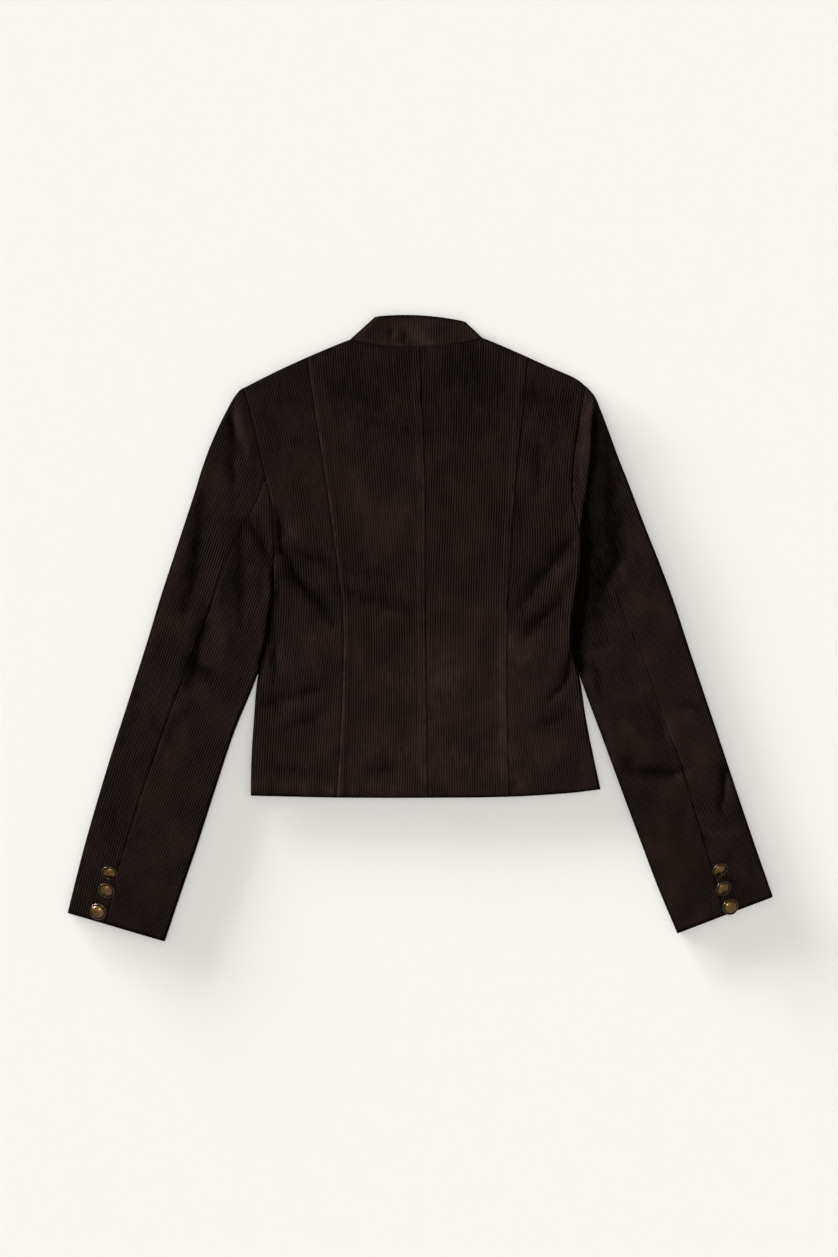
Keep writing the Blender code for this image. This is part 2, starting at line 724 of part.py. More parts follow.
def collar_front_place(side, turn, up):
    """A plan point of the collar's front part, which lies on the surface inside the front neckline."""
    centre = (CENTRE_FRONT + (-0.5 if side == "left" else 0.5) * CENTRE_FRONT_GAP) * MM
    low_side = collar_edge(side, True)
    high_side = collar_edge(side, False)
    low = front_neck_point(low_side, FRONT_NECK_DEPTH * MM, turn, centre)
    high = front_neck_point(high_side, COLLAR_FRONT_TOP_DEPTH * MM, turn, centre)
    low.y += SEAM_GAP / 2
    start = collar_roll_place(side, math.pi, up)
    fold = low_side * (1 - up) + high_side * up
    shift = Vector((start.x, start.y)) - fold
    return low * (1 - up) + high * up + shift * (1 - turn)


def collar_rows():
    """Points of the collar: columns along the band from the left centre front round the back."""
    columns = []
    for i in range(FRONT_NECK_COLUMNS):
        columns.append(("front", "left", 1 - i / FRONT_NECK_COLUMNS))
    for i in range(COLLAR_ROLL_COLUMNS):
        columns.append(("roll", "left", math.pi * (1 - i / COLLAR_ROLL_COLUMNS)))
    for i in range(COLLAR_BACK_COLUMNS + 1):
        columns.append(("back", "", i / COLLAR_BACK_COLUMNS))
    for i in range(1, COLLAR_ROLL_COLUMNS + 1):
        columns.append(("roll", "right", math.pi * i / COLLAR_ROLL_COLUMNS))
    for i in range(1, FRONT_NECK_COLUMNS + 1):
        columns.append(("front", "right", i / FRONT_NECK_COLUMNS))
    rows = []
    for j in range(COLLAR_ROWS + 1):
        up = j / COLLAR_ROWS
        row = []
        for part, side, value in columns:
            if part == "back":
                place = collar_back_place(value, up)
                sag = COLLAR_SAG * MM * up * 4 * value * (1 - value)
                row.append(Vector((place.x, place.y, LIE_HEIGHT - sag)))
            elif part == "roll":
                row.append(collar_roll_place(side, value, up))
            else:
                place = collar_front_place(side, value, up)
                row.append(Vector((place.x, place.y, 0.0)))
        rows.append(row)
    return rows


def clear_scene():
    """Remove whatever the scene holds."""
    for item in list(bpy.data.objects):
        bpy.data.objects.remove(item, do_unlink=True)


def new_material(name, colour, roughness, metallic):
    """A plain material with the part's colour."""
    material = bpy.data.materials.new(name)
    material.use_nodes = True
    shader = material.node_tree.nodes["Principled BSDF"]
    shader.inputs["Base Color"].default_value = (*colour, 1.0)
    shader.inputs["Roughness"].default_value = roughness
    shader.inputs["Metallic"].default_value = metallic
    material.diffuse_color = (*colour, 1.0)
    return material


def new_object(name, mesh, collection, colour, roughness, metallic=0.0):
    """Put a mesh in the collection as a named object with a material of its own."""
    item = bpy.data.objects.new(name, mesh)
    collection.objects.link(item)
    mesh.materials.append(new_material(name + "_finish", colour, roughness, metallic))
    mesh.shade_smooth()
    return item


def cloth_piece(name, rows, faces_up, collection):
    """Make a wall of cloth inside an outer face given as rows of points."""
    width = len(rows[0])
    points = [p for row in rows for p in row]
    faces = []
    for j in range(len(rows) - 1):
        for i in range(width - 1):
            corner = j * width + i
            face = (corner, corner + 1, corner + width + 1, corner + width)
            faces.append(face if faces_up else face[::-1])
    mesh = bpy.data.meshes.new(name)
    mesh.from_pydata(points, [], faces)
    piece = new_object(name, mesh, collection, CLOTH_COLOUR, CLOTH_ROUGHNESS)
    wall = piece.modifiers.new("wall", "SOLIDIFY")
    wall.thickness = WALL
    wall.offset = -1.0
    wall.use_even_offset = False
    return piece


def button_profile():
    """Half section of a button, from the top of its dome out over its rim and down to its shank's foot."""
    rim_centre = BUTTON_RADIUS - BUTTON_RIM_RADIUS
    profile = []
    for i in range(BUTTON_DOME_STEPS + 1):
        angle = math.pi / 2 * i / BUTTON_DOME_STEPS
        rise = BUTTON_DOME_RISE * math.cos(angle)
        profile.append((BUTTON_DOME_RADIUS * math.sin(angle), BUTTON_FLOOR_LEVEL + rise))
    for degrees in BUTTON_RIM_DEGREES:
        angle = math.radians(degrees)
        x = rim_centre + BUTTON_RIM_RADIUS * math.cos(angle)
        profile.append((x, BUTTON_RIM_LEVEL + BUTTON_RIM_RADIUS * math.sin(angle)))
    profile.append((BUTTON_SHANK_RADIUS, BUTTON_SHANK_HEIGHT))
    profile.append((BUTTON_SHANK_RADIUS, 0.0))
    profile.append((0.0, 0.0))
    return profile


def rim_height(lean):
    """Height of the middle of a leaning button's rim above the cloth that it touches with its rim or
    its shank's foot."""
    on_rim = (BUTTON_RADIUS - BUTTON_RIM_RADIUS) * math.sin(lean) + BUTTON_RIM_RADIUS
    on_foot = BUTTON_RIM_LEVEL * math.cos(lean) + BUTTON_SHANK_RADIUS * math.sin(lean)
    return max(on_rim, on_foot) + BUTTON_SEAT_GAP


def button(name, x, level, lean, lean_towards, collection):
    """Turn one button and seat it on the cloth."""
    profile = button_profile()
    mesh = bpy.data.meshes.new(name)
    points = [(radius, 0.0, height) for radius, height in profile]
    edges = [(i, i + 1) for i in range(len(points) - 1)]
    mesh.from_pydata(points, edges, [])
    piece = new_object(name, mesh, collection, BUTTON_COLOUR, BUTTON_ROUGHNESS, 1.0)
    turn = piece.modifiers.new("turn", "SCREW")
    turn.axis = "Z"
    turn.angle = math.tau
    turn.steps = BUTTON_TURN_STEPS
    turn.render_steps = BUTTON_TURN_STEPS
    turn.use_merge_vertices = True
    turn.merge_threshold = 0.00001
    turn.use_smooth_shade = True
    lean = math.radians(lean)
    around = math.radians(lean_towards)
    hinge = Vector((-math.sin(around), math.cos(around), 0.0))
    height = upper_height(x * MM, level * MM) + rim_height(lean)
    placed = Matrix.Translation((x * MM, level * MM, height))
    from_foot = Matrix.Translation((0.0, 0.0, -BUTTON_RIM_LEVEL))
    piece.matrix_world = placed @ Matrix.Rotation(lean, 4, hinge) @ from_foot
    return piece


def build():
    """Build the jacket."""
    clear_scene()
    collection = bpy.data.collections.new(COLLECTION_NAME)
    bpy.context.scene.collection.children.link(collection)

    for panel in named_rows(BACK_PANELS, BACK_PANEL_COLUMNS):
        rows = back_panel(panel["left_line"], panel["right_line"], panel["side"])
        cloth_piece(panel["name"], rows, True, collection)
    for side in ("left", "right"):
        rows_face_up = side == "left"
        cloth_piece("front_" + side, front_panel(side), False, collection)
        cloth_piece("sleeve_top_" + side, sleeve_top(side), rows_face_up, collection)
        cloth_piece("sleeve_under_" + side, sleeve_under(side), rows_face_up, collection)
    cloth_piece("collar", collar_rows(), True, collection)
    for row in named_rows(BUTTONS, BUTTON_COLUMNS):
        button(**row, collection=collection)


build()
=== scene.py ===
"""The photographed jacket over its solids: fine corduroy laid flat, its folds and seams, and its buttons.

Lengths in the tables are millimetres, and everything else is metres. X runs to the wearer's right,
Y runs up towards the collar, and Z is up from the surface. Each piece of cloth is a closed shell on a
grid whose columns follow its ribs.
"""

import math

import bpy
import numpy as np
from mathutils import Matrix, Vector


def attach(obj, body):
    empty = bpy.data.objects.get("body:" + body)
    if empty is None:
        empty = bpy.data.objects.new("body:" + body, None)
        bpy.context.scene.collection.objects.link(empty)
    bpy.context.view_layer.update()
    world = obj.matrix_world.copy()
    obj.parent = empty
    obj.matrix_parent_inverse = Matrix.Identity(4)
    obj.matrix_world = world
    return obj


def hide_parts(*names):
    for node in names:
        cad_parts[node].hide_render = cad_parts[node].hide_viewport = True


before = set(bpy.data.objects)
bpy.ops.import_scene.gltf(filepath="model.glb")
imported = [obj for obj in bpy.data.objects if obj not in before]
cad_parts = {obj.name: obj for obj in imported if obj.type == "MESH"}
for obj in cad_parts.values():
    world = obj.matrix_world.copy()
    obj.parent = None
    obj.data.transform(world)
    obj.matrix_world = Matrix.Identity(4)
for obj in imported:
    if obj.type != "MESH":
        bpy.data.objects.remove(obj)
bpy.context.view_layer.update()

MM = 0.001

# The two sides of the jacket, and which way along X the middle lies from each
SIGNS = {"left": 1, "right": -1}

# Cloth
SEAM_GAP = 0.1 * MM
LIE_HEIGHT = 7.9 * MM
LOWEST_UPPER_CLOTH = 4.3 * MM
CLOTH_THICKNESS = 1.2 * MM
TURN_UP_THICKNESS = 2.3 * MM
TURN_UP_DEPTH = 30.0 * MM
TURN_UP_STEP = 2.0 * MM
TURN_UP_RISE = 0.25 * MM
TURN_UP_RISE_REACH = 5.0 * MM
SEAM_DIP = 0.9 * MM
SEAM_DIP_WIDTH = 3.2 * MM
RAISED_DIP_SHARE = 0.3
SEAM_RIDGE = 0.45 * MM
SEAM_RIDGE_WIDTH = 9.0 * MM
SEAM_RIDGE_FLAT = 0.6
ALLOWANCE = 8.0 * MM
ALLOWANCE_THICKNESS = 0.8 * MM
ALLOWANCE_DROP = 0.3 * MM
ALLOWANCE_COLUMNS = 6
ALLOWANCE_END = 8.0 * MM
# The seam allowances are darkened all over: painted shade under the cloth
ALLOWANCE_SHADE = -0.7

# Ribs: their pitch, how deep their grooves are, and the places of the columns on each rib
RIB_PITCH = 2.83 * MM
RIB_DEPTH = 0.42 * MM
RIB_PROUD = 0.1 * MM
RIB_PLACES = (0.0, 0.22, 0.5, 0.78)
RIB_SHARPNESS = 2.2
RIB_LEAST_AT_SEAM = 0.35
ROW_STEP = 3.0 * MM
PLAIN_STEP = 7.0 * MM

# An edge where the upper cloth rolls over to meet the lower cloth, and the round of a cut edge
ROLL = 3.4 * MM
ROLL_STEPS = 8
OUTER_ROLL_STEPS = 16
ROLL_GAP = 1.5 * MM
SEAM_STEPS = (0.0, 0.5 * MM, 1.2 * MM, 2.1 * MM, 3.2 * MM)
ROUND_STEPS = (0.0, 0.25 * MM, 0.7 * MM, 1.3 * MM)
ROUND_DROP = 1.0 * MM

# Level sections of the body. Each row gives a level and where the outer edges and the back seams cross
# it. Above the shoulders the edges only carry on their lines.
BODY_LINE_NAMES = ("left_edge", "left_princess", "centre_back", "right_princess", "right_edge")
BODY_SECTIONS = (
    (-200.0, -190.0, -94.2, 7.5, 98.9, 205.6),
    (-147.8, -189.3, -90.9, 6.8, 97.4, 194.3),
    (-103.0, -186.5, -88.3, 6.4, 96.4, 185.4),
    (-58.2, -182.6, -86.6, 5.7, 96.2, 178.6),
    (-13.4, -172.7, -85.7, 5.2, 96.2, 169.5),
    (31.4, -166.0, -87.6, 4.9, 97.2, 173.0),
    (62.7, -164.1, -91.3, 4.6, 98.7, 178.4),
    (106.4, -164.1, -97.2, 4.9, 101.6, 177.9),
    (149.0, -168.6, -103.3, 4.7, 104.7, 169.7),
    (189.3, -178.6, -109.4, 3.8, 108.1, 171.2),
    (230.7, -187.6, -115.9, 1.9, 112.6, 177.2),
    (266.6, -197.7, -121.3, 0.0, 115.5, 183.3),
    (302.4, -209.0, -126.0, -0.9, 118.5, 191.0),
    (330.0, -218.0, -129.0, -1.6, 121.0, 197.0),
)

# Panels of the back: the lines of the body that each lies between, the side on which it ends at the
# free edge, how much the allowances of its left and right seams raise it, and the tones of both seams'
# lines. A tone below 0 is painted shade in the seam, and one above 0 is painted light on the raised edge
# with pressed pile.
# The two centre panels carry the allowances of the seams between the panels.
BACK_PANELS = (
    ("back_side_left", "left_edge", "left_princess", "left", 0.0, 0.0, 0.2, -0.45),
    ("back_centre_left", "left_princess", "centre_back", "", 1.0, 1.0, 0.8, 0.95),
    ("back_centre_right", "centre_back", "right_princess", "", 0.0, 1.0, -0.2, 0.85),
    ("back_side_right", "right_princess", "right_edge", "right", 0.0, 0.0, -0.4, -0.2),
)
CENTRE_SEAMS = {
    "back_centre_left": ("left_princess", "centre_back"),
    "back_centre_right": ("right_princess",),
}
# Lines along seams and edges. The dark ones are painted shade in the seams, below the neckline and along
# free edges. A seam's light line is painted light on its raised edge with pressed pile.
SEAM_LINE_WIDTH = 1.0 * MM
SEAM_LIGHT_FROM = 1.3 * MM
NECK_SHADE = -0.45
ELBOW_SEAM_SHADE = -0.7
ELBOW_LEAST_DIP = 0.3
ARMHOLE_SEAM_SHADE = -0.5
EDGE_SHADE = -1.3
EDGE_SHADE_WIDTH = 2.2 * MM

# Levels of each elbow seam and how much of it shows there, and how seams come and go along their length
ELBOW_SHOWN = {
    "left": ((-360.0, 0.15), (-250.0, 0.45), (-150.0, 1.0), (20.0, 0.9), (110.0, 0.5), (160.0, 0.2)),
    "right": ((-350.0, 0.7), (-260.0, 1.0), (-180.0, 0.9), (-120.0, 0.2), (20.0, 0.1), (150.0, 0.0)),
}
SEAM_BREAKS_LENGTH = 21.0 * MM
SEAM_BREAKS_DEPTH = 0.35
SEAM_BREAKS_SWING = 2.0
SEAM_BREAKS_DRIFT = 0.37

# Levels of the armpits
ARMPIT_LEVEL = {"left": 62.7, "right": 106.4}

# Hem, from left to right: x and level
HEM = (
    (-190.0, -187.6),
    (-93.5, -189.7),
    (7.3, -189.9),
    (98.6, -188.8),
    (165.0, -184.8),
    (202.0, -180.4),
)

# Shoulders and neck: the shoulder tips and the neck points, each with x and level
TIPS = {"left": (-198.2, 268.2), "right": (184.2, 270.6)}
NECKS = {"left": (-80.1, 322.0), "right": (70.0, 324.2)}
SHOULDER_BOW = 2.2
RIGHT_TIP_BULGE = 62.0
RIGHT_TIP_BULGE_POWER = 8
BACK_NECK_DIP = 9.8
CENTRE_FRONT = 4.0
CENTRE_FRONT_GAP = 0.6
FRONT_NECK_DEPTH = 73.0
FRONT_SHOULDER_SHARE = 0.5
NECK_GAP_TURN = 0.25
SHOULDER_ROLL_FADE = 36.0

# Sections across the sleeves, from the shoulder tip to the cuff: level and x of the inner end, x and
# level of the outer end, and the elbow seam's share of the way between them. The inner end lies on the
# body's edge wherever its x is None.
SLEEVE_UNITS = (MM, MM, MM, 1.0)
LEFT_SLEEVE = (
    (267.7, None, -202.6, 265.4, -0.20),
    (258.0, None, -208.2, 258.4, -0.20),
    (248.6, None, -213.0, 250.6, -0.20),
    (219.5, None, -225.5, 226.0, -0.20),
    (193.8, None, -236.2, 201.2, -0.10),
    (170.2, None, -245.2, 176.0, 0.00),
    (149.0, None, -251.2, 156.2, 0.14),
    (98.6, None, -262.6, 121.0, 0.40),
    (57.1, None, -277.2, 76.2, 0.50),
    (4.5, None, -291.8, 31.4, 0.55),
    (-51.5, -182.6, -305.2, -13.4, 0.60),
    (-117.6, -208.9, -326.5, -80.6, 0.61),
    (-178.1, -229.0, -346.6, -143.4, 0.625),
    (-244.2, -250.3, -367.9, -215.0, 0.635),
    (-290.1, -266.0, -380.2, -259.8, 0.635),
    (-350.6, -286.2, -394.8, -318.6, 0.61),
)
RIGHT_SLEEVE = (
    (270.6, None, 186.6, 268.6, -0.20),
    (260.2, None, 194.4, 260.0, -0.20),
    (249.8, None, 199.4, 249.4, -0.20),
    (224.0, None, 210.0, 221.8, -0.20),
    (185.9, None, 222.3, 188.2, -0.10),
    (159.0, None, 231.3, 165.8, 0.00),
    (127.7, None, 241.4, 138.9, 0.12),
    (88.5, None, 254.8, 104.2, 0.27),
    (49.3, None, 268.2, 70.6, 0.39),
    (4.5, None, 282.8, 31.4, 0.50),
    (-43.7, None, 297.4, -13.4, 0.585),
    (-70.0, 183.8, 305.5, -38.0, 0.585),
    (-115.9, 200.9, 319.8, -80.6, 0.585),
    (-187.0, 227.0, 342.2, -147.8, 0.59),
    (-240.2, 246.8, 360.1, -201.6, 0.565),
    (-289.5, 265.4, 376.9, -250.9, 0.545),
    (-341.6, 287.3, 394.2, -300.7, 0.50),
)
SLEEVES = {"left": LEFT_SLEEVE, "right": RIGHT_SLEEVE}
SLEEVE_FREE_FROM = {"left": -51.5, "right": -50.0}
ARMPIT_FADE = 48.0
LEAST_UNDER_WIDTH = 1.5 * MM
NARROW_ROLL = 0.4
NARROW_PART = 0.3

# One rib of each under sleeve, by which its other ribs are laid: level and x
UNDER_RIBS = {
    "left": ((-360.0, -394.8), (-330.0, -380.7), (-180.0, -309.1), (-70.0, -263.6), (100.0, -200.0)),
    "right": (
        (-350.0, 341.0), (-280.0, 309.2), (-180.0, 260.4), (-115.0, 233.0), (-80.0, 221.6), (110.0, 170.0),
    ),
}

# The right sleeve head is folded over the sleeve. Its fold line, with level and x, runs down to the
# armpit and on along the body's edge. The cloth stands up on the body's side of it and lies low beyond it.
RIGHT_FOLD = (
    (-60.0, 178.7),
    (-44.8, 174.5),
    (-13.4, 169.5),
    (31.4, 173.0),
    (62.7, 178.4),
    (106.4, 178.1),
    (134.4, 181.0),
    (161.3, 185.7),
    (193.8, 189.2),
    (230.7, 191.4),
    (255.4, 194.3),
    (275.0, 196.0),
)
FOLD_RISE = 2.0
FOLD_RISE_REACH = 9.0
FOLD_FALL = 3.0
FOLD_FALL_REACH = 15.0
FOLD_LIP = 2.4
FOLD_FADE = 22.0
FOLD_TOP_LEVEL = 262.0

# The shade beyond the right sleeve head's fold, which ends softly: level and width
FOLD_SHADE = (
    (-62.0, 1.0),
    (-40.0, 5.0),
    (0.0, 8.0),
    (60.0, 8.0),
    (105.0, 8.5),
    (150.0, 3.0),
    (200.0, 3.0),
    (256.0, 0.5),
)
FOLD_SHADE_TONE = -1.05
FOLD_SHADE_START = 0.8 * MM
FOLD_SHADE_END = 8.5 * MM

# Folds of the upper cloth: each one's route with x and level, its rise, which is negative where it is a
# trough, and its half width
FOLDS = (
    (((-212, 250), (-211, 215), (-207, 190)), -2.6, 6.0),
    (((-212, 188), (-209, 160)), -1.8, 6.0),
    (((-206, 252), (-197, 218), (-189, 182)), 1.8, 6.5),
    (((-244, 145), (-249, 100), (-257, 50), (-262, 20)), -2.2, 9.0),
    (((-238, 18), (-249, -20), (-258, -62)), -1.8, 8.0),
    (((-200, 112), (-201, 60), (-199, 5)), -1.6, 8.0),
    (((-223, 120), (-222, 70), (-225, 30)), 1.0, 9.0),
    (((-190, 116), (-178, 98), (-170, 72)), -2.0, 6.0),
    (((-176, 55), (-178, 30)), -1.2, 5.0),
    (((-258, -42), (-240, -54), (-225, -58)), -1.6, 9.0),
    (((-222, 5), (-217, -15), (-221, -32)), 1.6, 10.0),
    (((-322, -72), (-313, -81)), -1.2, 6.0),
    (((-296, -112), (-272, -135), (-257, -156)), -1.3, 6.5),
    (((-262, -82), (-282, -104)), 0.9, 9.0),
    (((-162, 130), (-157, 108), (-156, 88)), -2.0, 5.5),
    (((-156, 84), (-138, 54), (-116, 29), (-96, 8)), -2.2, 7.5),
    (((-145, 88), (-118, 76), (-96, 68)), -1.3, 7.0),
    (((-141, 106), (-124, 91)), 1.2, 7.0),
    (((-84, 62), (-30, 58)), -0.9, 8.0),
    (((-84, 40), (-40, 25), (-8, 18)), -1.2, 9.0),
    (((-162, -8), (-163, -60)), -1.3, 6.0),
    (((-172, -88), (-158, -82), (-150, -72)), -1.4, 9.0),
    (((-146, -80), (-115, -68)), -1.1, 7.0),
    (((-150, -115), (-105, -95)), -0.9, 8.0),
    (((-150, -162), (-104, -166)), -0.8, 8.0),
    (((-60, -158), (-14, -160)), -0.9, 9.0),
    (((133, 196), (131, 152)), -1.1, 6.5),
    (((172, 98), (150, 78), (130, 50), (110, 24)), -1.9, 8.0),
    (((168, 72), (143, 34)), 0.7, 7.0),
    (((156, 30), (124, 0), (114, -14)), -1.3, 8.0),
    (((172, -14), (165, -48), (156, -66), (146, -78)), -1.8, 5.5),
    (((58, 20), (92, 17)), 0.8, 8.0),
    (((100, 14), (108, -22), (124, -52)), 0.9, 12.0),
    (((126, -112), (158, -102)), -1.0, 7.0),
    (((48, -100), (62, -140)), -0.6, 12.0),
    (((212, 190), (214, 140), (213, 100)), -1.6, 10.0),
    (((222, 112), (221, 72), (205, 45)), -1.8, 8.0),
    (((240, 150), (252, 100), (262, 60)), 1.0, 10.0),
    (((188.7, 45), (209, 51.5)), -1.3, 5.0),
    (((184, 7), (203, 10)), -1.1, 5.0),
    (((191, -25), (210, -18)), -1.1, 5.0),
    (((262, -100), (274, -122)), -1.6, 8.0),
    (((290, -86), (308, -92)), -1.3, 8.0),
    (((225, -105), (255, -135)), 1.0, 8.0),
    (((232, -144), (228, -158)), -1.2, 7.0),
    (((238, -160), (268, -163), (292, -160)), -1.9, 7.0),
    (((250, -195), (265, -217)), -1.0, 7.0),
    (((316, -225), (347, -225)), -1.0, 7.0),
    (((343, -148), (338, -170), (335, -200)), -2.2, 5.0),
)
FOLD_END_STRENGTH = 0.55
FOLD_SHARPNESS = 1.7

# Strokes that lighten or darken the upper cloth. Painted shade lies along the troughs of the folds, in the
# gap between the left sleeve and the body, and on the right sleeve beyond its head's fold. Painted light
# lies along the ridges of the folds and on the crest of that fold. Light lines run along the back's upper
# seams, as painted light with pressed pile. Broad strokes lighten the lower back and darken the top, and
# the rest are lighter and darker patches of the nap. Each row gives a stroke's route, its tone and its
# half width
SHADE_LIGHT_AND_NAP_STROKES = (
    (((-207, 254), (-197, 220), (-190, 190), (-188, 178)), 0.5, 6.0),
    (((-213, 248), (-211, 215), (-204, 197)), -0.75, 5.5),
    (((-213, 186), (-209, 160)), -0.55, 6.0),
    (((-246, 178), (-262, 120), (-281, 60), (-297, 5), (-312, -45)), 0.4, 9.0),
    (((-243, 145), (-248, 100), (-256, 50), (-262, 22)), -0.65, 9.0),
    (((-238, 18), (-249, -20), (-259, -62)), -0.6, 7.5),
    (((-200, 112), (-201, 60), (-199, 5)), -0.45, 8.0),
    (((-191, 116), (-178, 98), (-170, 72)), -0.6, 6.0),
    (((-183, 158), (-174, 168)), -0.25, 4.0),
    (((-187, 128), (-172, 162)), 0.25, 4.0),
    (((-166, 70), (-164, 40), (-169, 0), (-181, -50)), -1.0, 4.0),
    (((-256, -40), (-240, -56), (-224, -56)), -0.45, 10.0),
    (((-225, 0), (-216, -18)), 0.35, 11.0),
    (((-280, -95), (-268, -140), (-285, -190)), 0.25, 14.0),
    (((-292, -112), (-270, -134), (-257, -152)), -0.35, 5.0),
    (((-322, -72), (-313, -81)), -0.4, 6.0),
    (((-332, -120), (-330, -128)), -0.4, 6.0),
    (((-342, -190), (-348, -240)), -0.25, 12.0),
    (((-318, -205), (-325, -235)), -0.25, 9.0),
    (((-162, 130), (-157, 108), (-156, 88)), -0.6, 5.5),
    (((-156, 84), (-138, 54), (-116, 29), (-96, 8)), -0.85, 7.5),
    (((-145, 88), (-118, 76), (-96, 66)), -0.5, 8.0),
    (((-150, 118), (-136, 98), (-120, 88)), 0.35, 6.0),
    (((-84, 62), (-30, 58)), -0.25, 8.0),
    (((-100, 44), (-60, 33), (-8, 18)), -0.4, 8.0),
    (((-162, -8), (-164, -60)), -0.5, 5.0),
    (((-168, -88), (-158, -84)), -0.5, 10.0),
    (((-146, -80), (-112, -66)), -0.4, 7.0),
    (((-158, -116), (-105, -95)), -0.25, 9.0),
    (((-172, -140), (-162, -155), (-104, -164)), -0.35, 8.0),
    (((-60, -156), (-14, -162)), -0.4, 9.0),
    (((-176, -172), (-100, -180), (-30, -176)), 0.3, 7.0),
    (((-130, 10), (-122, -35)), 0.3, 13.0),
    (((-70, -25), (-25, -60), (-5, -100)), 0.12, 24.0),
    (((-92, 205), (-70, 150), (-55, 110)), 0.2, 18.0),
    (((-30, 150), (-15, 95)), 0.2, 14.0),
    (((-98, 272), (-70, 255), (-50, 228)), -0.2, 16.0),
    (((-40, 222), (40, 218)), -0.25, 13.0),
    (((-185, 245), (-165, 215)), -0.2, 14.0),
    (((40, 305), (75, 275)), -0.35, 20.0),
    (((112, 262), (160, 245)), -0.18, 18.0),
    (((-118, 300), (-113, 250), (-104, 200)), 0.35, 4.5),
    (((-1, 200), (3, 130), (5, 50)), 0.3, 4.0),
    (((106, 235), (103, 165), (98, 80)), 0.25, 4.0),
    (((133, 196), (132, 150)), -0.35, 7.0),
    (((112, 145), (108, 110)), -0.25, 7.0),
    (((30, 150), (45, 120)), -0.15, 12.0),
    (((172, 98), (150, 78), (130, 50), (110, 24)), -0.5, 8.5),
    (((168, 74), (143, 36)), 0.1, 6.0),
    (((156, 30), (124, 0), (114, -14)), -0.45, 7.5),
    (((52, 22), (92, 15), (106, -14), (126, -42)), 0.4, 11.0),
    (((93, -10), (92, -100), (96, -178)), 0.35, 7.0),
    (((112, -170), (118, -176)), 0.5, 11.0),
    (((118, -30), (142, -34)), 0.35, 14.0),
    (((25, -15), (30, -80)), 0.3, 18.0),
    (((-20, -170), (10, -120)), 0.1, 18.0),
    (((171, -14), (165, -48), (156, -66), (146, -78)), -0.75, 4.5),
    (((163, -90), (150, -104), (128, -112)), -0.4, 8.0),
    (((48, -95), (63, -140)), -0.3, 11.0),
    (((188, 262), (184, 226), (179, 192), (178, 162)), 0.65, 4.5),
    (((176, 242), (172, 205), (168, 165)), -0.3, 4.0),
    (((203, 222), (210, 180), (214, 140), (212, 96)), -0.6, 13.0),
    (((222, 118), (220, 84), (208, 56), (196, 36)), -0.55, 12.0),
    (((196, 110), (198, 70), (192, 20), (188, -10)), -0.4, 12.0),
    (((196, 20), (206, 5)), -0.35, 12.0),
    (((240, 160), (255, 110)), 0.2, 8.0),
    (((246, 40), (240, 15), (262, 35), (284, 5)), 0.3, 12.0),
    (((192, -40), (200, -72)), -0.7, 6.0),
    (((262, -98), (274, -122)), -0.5, 8.0),
    (((288, -84), (312, -92)), -0.35, 9.0),
    (((262, -70), (258, -82)), -0.25, 9.0),
    (((228, -108), (256, -134)), 0.3, 7.0),
    (((232, -142), (228, -160)), -0.4, 7.0),
    (((238, -160), (268, -163), (292, -160)), -0.7, 6.5),
    (((342, -149), (338, -172), (335, -206)), -0.9, 4.0),
    (((352, -190), (358, -230)), -0.25, 10.0),
    (((312, -225), (322, -245)), -0.25, 8.0),
    (((265, -215), (270, -260)), 0.2, 14.0),
    (((-90, -50), (60, -60), (150, -80)), 0.32, 44.0),
    (((-150, -140), (0, -145), (170, -140)), 0.42, 46.0),
    (((-95, 165), (-10, 110)), 0.2, 40.0),
    (((-170, 275), (0, 275), (150, 250)), -0.24, 42.0),
    (((250, 10), (300, -120), (330, -200)), 0.2, 34.0),
)
STROKE_WANDER = 0.24
STROKE_WANDER_LENGTH = 7.0
STROKE_WANDER_TURNS = (1.7, 1.3, 2.1)

# Soft unevenness of the whole upper cloth: wavelength, direction in degrees, phase and height
WAVES = (
    (83.0, 17.0, 0.3, 0.16),
    (61.0, 104.0, 1.9, 0.14),
    (47.0, 152.0, 4.1, 0.12),
    (34.0, 61.0, 2.6, 0.09),
    (26.0, 8.0, 5.2, 0.06),
)

# Stand collar, pressed flat: where its two side folds meet the seam and the free edge, with x and
# level, and how far it sags between them
COLLAR_FEET = {"left": (-79.6, 322.0), "right": (69.6, 324.2)}
COLLAR_TOPS = {"left": (-51.0, 347.9), "right": (50.4, 342.3)}
COLLAR_TOP_BOW = 4.6
COLLAR_FRONT_TOP_DEPTH = 65.0
COLLAR_SAG = 2.6
COLLAR_FOLD_REACH = 5.4
COLLAR_ROWS = 12
COLLAR_ROLL_COLUMNS = 14
COLLAR_FRONT_COLUMNS = 30
COLLAR_THICKNESS = 1.9 * MM
COLLAR_HEIGHT = 26.0 * MM
COLLAR_CENTRE = -4.5
COLLAR_ROLL_ARC = 4.7 * MM
# The collar is a little lighter all over, with painted light along its foot above the seam and beside its
# side folds
COLLAR_TONE = 0.2
COLLAR_FOOT_LIGHT = 0.8
COLLAR_FOLD_LIGHT = 0.35
COLLAR_FOLD_LIGHT_WIDTH = 2.5 * MM

